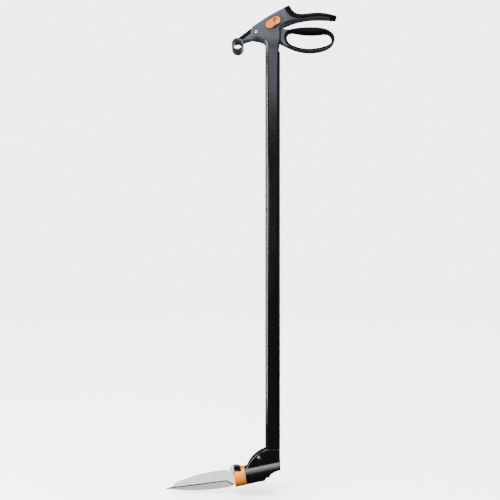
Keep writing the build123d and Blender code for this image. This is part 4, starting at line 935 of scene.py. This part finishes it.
# ---- blades -------------------------------------------------------------
THICK = 2.5
GAP = 0.06
HUB_R = 16.0
PIN_S = BLADE_S + 5.091
PIN_EYE_R = 6.4
PIN_SLOT_R = 2.6
BEVEL_DEPTH, BEVEL_WIDE = 1.25, 1.5
FIXED_HOLE_R = 4.0
LOCATING_PIN, LOCATING_PIN_R = (-9.2, -9.0), 1.5
upper_flat = region(joined(
    spline([(-157.2, -965.6), (-136.0, -952.2), (-113.0, -942.8), (-88.0, -935.0), (-58.0, -928.4),
            (-29.5, -923.6)]),
    [(-22.0, -925.8), (-18.4, -929.8), on_axis(BLADE_S, BLADE_H - 4.0), on_axis(PIN_S + 4.0, -4.0),
     on_axis(-26.2, -13.8), HEEL_END, HEEL_START, CUTTING_EDGE[1], (-86.9, -957.4)]))
lower_flat = region(joined(
    [(-157.6, -966.2), (-90.0, -953.0), (-30.0, -941.0), (BLADE_X, BLADE_Z), on_axis(-5.2, 0.0),
     on_axis(-4.2, -12.0), on_axis(-24.2, -14.6)],
    spline([(-18.0, -962.0), (-60.0, -967.4), (-110.0, -969.2), (-157.6, -966.2)])))


def line_side(x, z, a, b):
    """Distance to the left of the line from a to b."""
    run = math.dist(a, b)
    return ((b[0] - a[0]) * (z - a[1]) - (b[1] - a[1]) * (x - a[0])) / run


def upper_blade(x, y, z):
    s, h = along_axis(x, z)
    flat = np.minimum(upper_flat(x, z), np.hypot(x - BLADE_X, z - BLADE_Z) - HUB_R)
    flat = np.minimum(flat, np.hypot(s - PIN_S, h) - PIN_EYE_R)
    # the outer face is ground hollow, thinning towards the edge; the hub stays flat
    edge = -line_side(x, z, CUTTING_EDGE[1], CUTTING_EDGE[0])
    ground_in = smooth_step(x, -20.0, -25.5)
    thin = 0.55 + 0.35 * smooth_step(edge, 26.0, 0.0)
    bevel = BEVEL_DEPTH * np.clip(1 + flat / BEVEL_WIDE, 0, 1) * smooth_step(edge, 11.0, 8.0)
    depth = THICK - ground_in * (thin + bevel)
    mid = -GAP - depth / 2
    f = slab(flat, y - mid, depth / 2, 0.22)
    f = cut(f, np.hypot(x - BLADE_X, z - BLADE_Z) - BOLT_HOLE_R, 0.1)
    return cut(f, np.hypot(s - PIN_S, h) - PIN_SLOT_R, 0.1)


def lower_blade(x, y, z):
    s, h = along_axis(x, z)
    flat = np.minimum(lower_flat(x, z), np.hypot(x - BLADE_X, z - BLADE_Z) - HUB_R + 0.6)
    back = -lower_flat(x, z)
    depth = THICK - 0.9 * smooth_step(back, 3.0, 0.2) * smooth_step(x, -20.0, -40.0)
    f = slab(flat, y - GAP - depth / 2, depth / 2, 0.22)
    f = cut(f, np.hypot(x - BLADE_X, z - BLADE_Z) - FIXED_HOLE_R, 0.1)
    return cut(f, np.hypot(s - LOCATING_PIN[0], h - LOCATING_PIN[1]) - LOCATING_PIN_R, 0.1)


BLADE_STEP = ((0.6, 0.2, 0.5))
upper_piece = from_field("moving_blade", upper_blade, (-160, -3.2, -970), (16, 0.6, -909), BLADE_STEP)
finish_piece(upper_piece, "moving_blade", "blade_steel", blade_steel, "moving_blade")
lower_piece = from_field("fixed_blade", lower_blade, (-160, -0.6, -972), (16, 3.2, -909), BLADE_STEP)
finish_piece(lower_piece, "cutting_head", "blade_steel", shaded_blade_steel, "fixed_blade")


# ---- rivets and screws --------------------------------------------------
def turned(name, profile, x, z, y_out):
    """A round piece about a line across the tool. The profile gives (radius, depth from the near end)."""
    sides = 40
    points, faces = [], []
    for radius, depth in profile:
        for k in range(sides):
            a = 2 * math.pi * k / sides
            points.append((x + radius * math.cos(a), y_out + depth, z + radius * math.sin(a)))
    for ring in range(len(profile) - 1):
        for k in range(sides):
            a, b = ring * sides + k, ring * sides + (k + 1) % sides
            faces.append((a, b, b + sides, a + sides))
    faces.append(tuple(range(sides - 1, -1, -1)))
    last = (len(profile) - 1) * sides
    faces.append(tuple(range(last, last + sides)))
    return mesh_object(name, points, faces)


def rivet_profile(head_r, shank_r, proud, half):
    """Domed heads at both ends, each with a dimple in the middle."""
    dome = [(0.25, 0.55), (1.0, 0.45), (1.5, 0.15), (head_r * 0.62, 0.02), (head_r * 0.85, 0.28),
            (head_r * 0.97, 0.75), (head_r, proud), (head_r - 0.1, proud + 0.15), (shank_r, proud + 0.2)]
    length = 2 * (half + proud)
    return dome + [(r, length - d) for r, d in reversed(dome)]


RIVET_HEAD_R, RIVET_SHANK_R, RIVET_PROUD = 3.7, 2.58, 1.3
trigger_profile = rivet_profile(RIVET_HEAD_R, RIVET_SHANK_R, RIVET_PROUD, HEAD_HALF - RIVET_SEAT)
trigger_rivet = turned("trigger_rivet", trigger_profile, TRIGGER_X, TRIGGER_Z, -HEAD_HALF - 0.1)
finish_piece(trigger_rivet, "body", "zinc_steel", zinc, "trigger_rivet")
crank_profile = rivet_profile(RIVET_HEAD_R, RIVET_SHANK_R, RIVET_PROUD, GUSSET_HALF - 0.1)
crank_rivet = turned("crank_rivet", crank_profile, CRANK_X, CRANK_Z, -GUSSET_HALF - 1.2)
finish_piece(crank_rivet, "body", "zinc_steel", zinc, "crank_rivet")


SCREW_HEAD_R, SCREW_HEAD_HALF, SCREW_SHANK_R = 3.15, 0.9, 1.55
RECESS_ARM, RECESS_HALF, RECESS_FLOOR = 1.9, 0.45, 0.7
SCREW_STEP = 0.35


def screw_set(name, places, shank):
    """Pan-head screws seen from the far side, each with a cross recess."""
    all_points, all_faces, base = [], [], 0
    for sx, sz, seat in places:
        def screw(x, y, z, sx=sx, sz=sz, seat=seat):
            r = np.hypot(x - sx, z - sz)
            head = slab(r - SCREW_HEAD_R, y - seat - SCREW_HEAD_HALF, SCREW_HEAD_HALF, 0.7)
            f = np.minimum(head, np.maximum(r - SCREW_SHANK_R, np.maximum(y - seat, seat - shank - y)))
            from_x, from_z = np.abs(x - sx), np.abs(z - sz)
            arms = np.minimum(np.maximum(from_x - RECESS_HALF, from_z - RECESS_ARM),
                              np.maximum(from_z - RECESS_HALF, from_x - RECESS_ARM))
            return cut(f, np.maximum(arms, seat + RECESS_FLOOR - y), 0.15)
        low, high = (sx - 4, seat - shank - 1, sz - 4), (sx + 4, seat + 2.6, sz + 4)
        points, faces = net(screw, low, high, SCREW_STEP)
        all_points.append(points)
        all_faces.append(faces + base)
        base += len(points)
    obj = mesh_object(name, np.concatenate(all_points), np.concatenate(all_faces))
    finish_piece(obj, "body", "zinc_steel", zinc, name)
    return obj


HANDLE_SCREW_SEAT = HANDLE_HALF - 2.5
HANDLE_SHANK = 12.0
LOWER_SCREW_SEAT = GUSSET_HALF - 2.0
LOWER_SHANK = 10.0
screw_set("handle_screws", [(x, z, HANDLE_SCREW_SEAT) for x, z, _ in SCREWS], HANDLE_SHANK)
screw_set("lower_screws", [(x, z, LOWER_SCREW_SEAT) for x, z in LOWER_SCREWS], LOWER_SHANK)


# ---- plain materials for the CAD nodes that stay -------------------------
BY_SLOT = {"pole": pole_coat, "head_plastic": head_plastic, "lever_plastic": lever_plastic,
           "foot_plastic": foot_plastic, "soft_grip": soft_black, "orange_plastic": orange,
           "inner_plastic": inner_plastic, "zinc_steel": zinc, "spring_steel": spring_steel,
           "blade_steel": blade_steel}
for part in frame["record"]["subparts"]:
    node = frame["nodes"][part["node"]]
    for index in range(len(node.material_slots)):
        node.material_slots[index].material = BY_SLOT[part["material_slot"]]

# ---- floor and light ----------------------------------------------------
FLOOR_Z = -0.978
floor_mesh = bpy.data.meshes.new("floor")
floor_mesh.from_pydata([(x, y, FLOOR_Z) for x, y in ((-6, -6), (6, -6), (6, 6), (-6, 6))], [], [(0, 1, 2, 3)])
floor = bpy.data.objects.new("floor", floor_mesh)
bpy.context.scene.collection.objects.link(floor)
floor_shade = Shade("floor", (0.86, 0.86, 0.86), 0.8, specular=0.1)
floor.data.materials.append(floor_shade.material)


COOL = (0.90, 0.94, 1.06)


def softbox(name, at, towards, size, power, colour=(1, 1, 1)):
    light = bpy.data.lights.new(name, "AREA")
    light.shape = "RECTANGLE"
    light.size, light.size_y = size
    light.energy = power
    light.color = colour
    obj = bpy.data.objects.new(name, light)
    obj.location = at
    obj.rotation_euler = (Vector(towards) - Vector(at)).to_track_quat("-Z", "Y").to_euler()
    bpy.context.scene.collection.objects.link(obj)
    return obj


softbox("front_top", (0.15, -1.25, 0.85), (0.10, 0.0, 0.05), (1.3, 0.5), 8, COOL)
softbox("front_upper", (0.12, -1.50, 0.50), (0.08, 0.0, -0.02), (0.9, 0.40), 3.2, COOL)
softbox("strip_left", (-1.30, -0.70, -0.40), (0.06, 0.0, -0.45), (0.30, 1.7), 80)
softbox("fill_right", (1.7, -0.9, -0.2), (0.05, 0.0, -0.4), (0.5, 1.4), 2)
softbox("back", (0.5, 1.9, 0.5), (0.05, 0.0, -0.4), (1.4, 1.4), 14)
softbox("foot_front", (-0.35, -1.0, -0.25), (-0.05, 0.0, -0.94), (0.6, 0.35), 3)

overhead = bpy.data.lights.new("overhead", "SUN")
overhead.energy = 5.0
overhead.angle = math.radians(50.0)
overhead_obj = bpy.data.objects.new("overhead", overhead)
overhead_obj.rotation_euler = (math.radians(12.0), math.radians(-8.0), 0.0)
bpy.context.scene.collection.objects.link(overhead_obj)

# a card below the camera, for the ground faces of the blades only
blade_card = softbox("blade_card", (-0.20, -0.75, -1.20), (-0.06, 0.0, -0.945), (1.2, 0.8), 8)
blade_faces = bpy.data.collections.new("blade_faces")
bpy.context.scene.collection.children.link(blade_faces)
for piece in (upper_piece, lower_piece):
    blade_faces.objects.link(piece)
blade_card.light_linking.receiver_collection = blade_faces
# and one for the underside of the hanging eye
eye_card = softbox("eye_card", (-0.25, -0.70, -0.60), (0.0, 0.0, 0.0), (0.4, 0.4), 14, COOL)
eye_faces = bpy.data.collections.new("eye_faces")
bpy.context.scene.collection.children.link(eye_faces)
eye_faces.objects.link(arm)
eye_card.light_linking.receiver_collection = eye_faces

floor.visible_diffuse = False
floor.visible_glossy = False
# the floor has its own light, so that it meets the background without lighting the tool from below
floor_sun = bpy.data.lights.new("floor_sun", "SUN")
floor_sun.energy = 12.0
floor_sun.angle = math.radians(120.0)
floor_sun_obj = bpy.data.objects.new("floor_sun", floor_sun)
bpy.context.scene.collection.objects.link(floor_sun_obj)
floor_only = bpy.data.collections.new("floor_only")
bpy.context.scene.collection.children.link(floor_only)
floor_only.objects.link(floor)
floor_sun_obj.light_linking.receiver_collection = floor_only

# strength of the white seen behind the tool, and of the dim light the sky sheds on it
BACKGROUND, AMBIENT = 4.6, 0.07
world = bpy.data.worlds.new("studio")
bpy.context.scene.world = world
world.use_nodes = True
sky = world.node_tree
dim = sky.nodes["Background"]
dim.inputs[0].default_value = (1, 1, 1, 1)
dim.inputs[1].default_value = AMBIENT
white = sky.nodes.new("ShaderNodeBackground")
white.inputs[0].default_value = (1, 1, 1, 1)
white.inputs[1].default_value = BACKGROUND
path = sky.nodes.new("ShaderNodeLightPath")
pick = sky.nodes.new("ShaderNodeMixShader")
sky.links.new(path.outputs["Is Camera Ray"], pick.inputs[0])
sky.links.new(dim.outputs[0], pick.inputs[1])
sky.links.new(white.outputs[0], pick.inputs[2])
sky.links.new(pick.outputs[0], sky.nodes["World Output"].inputs[0])
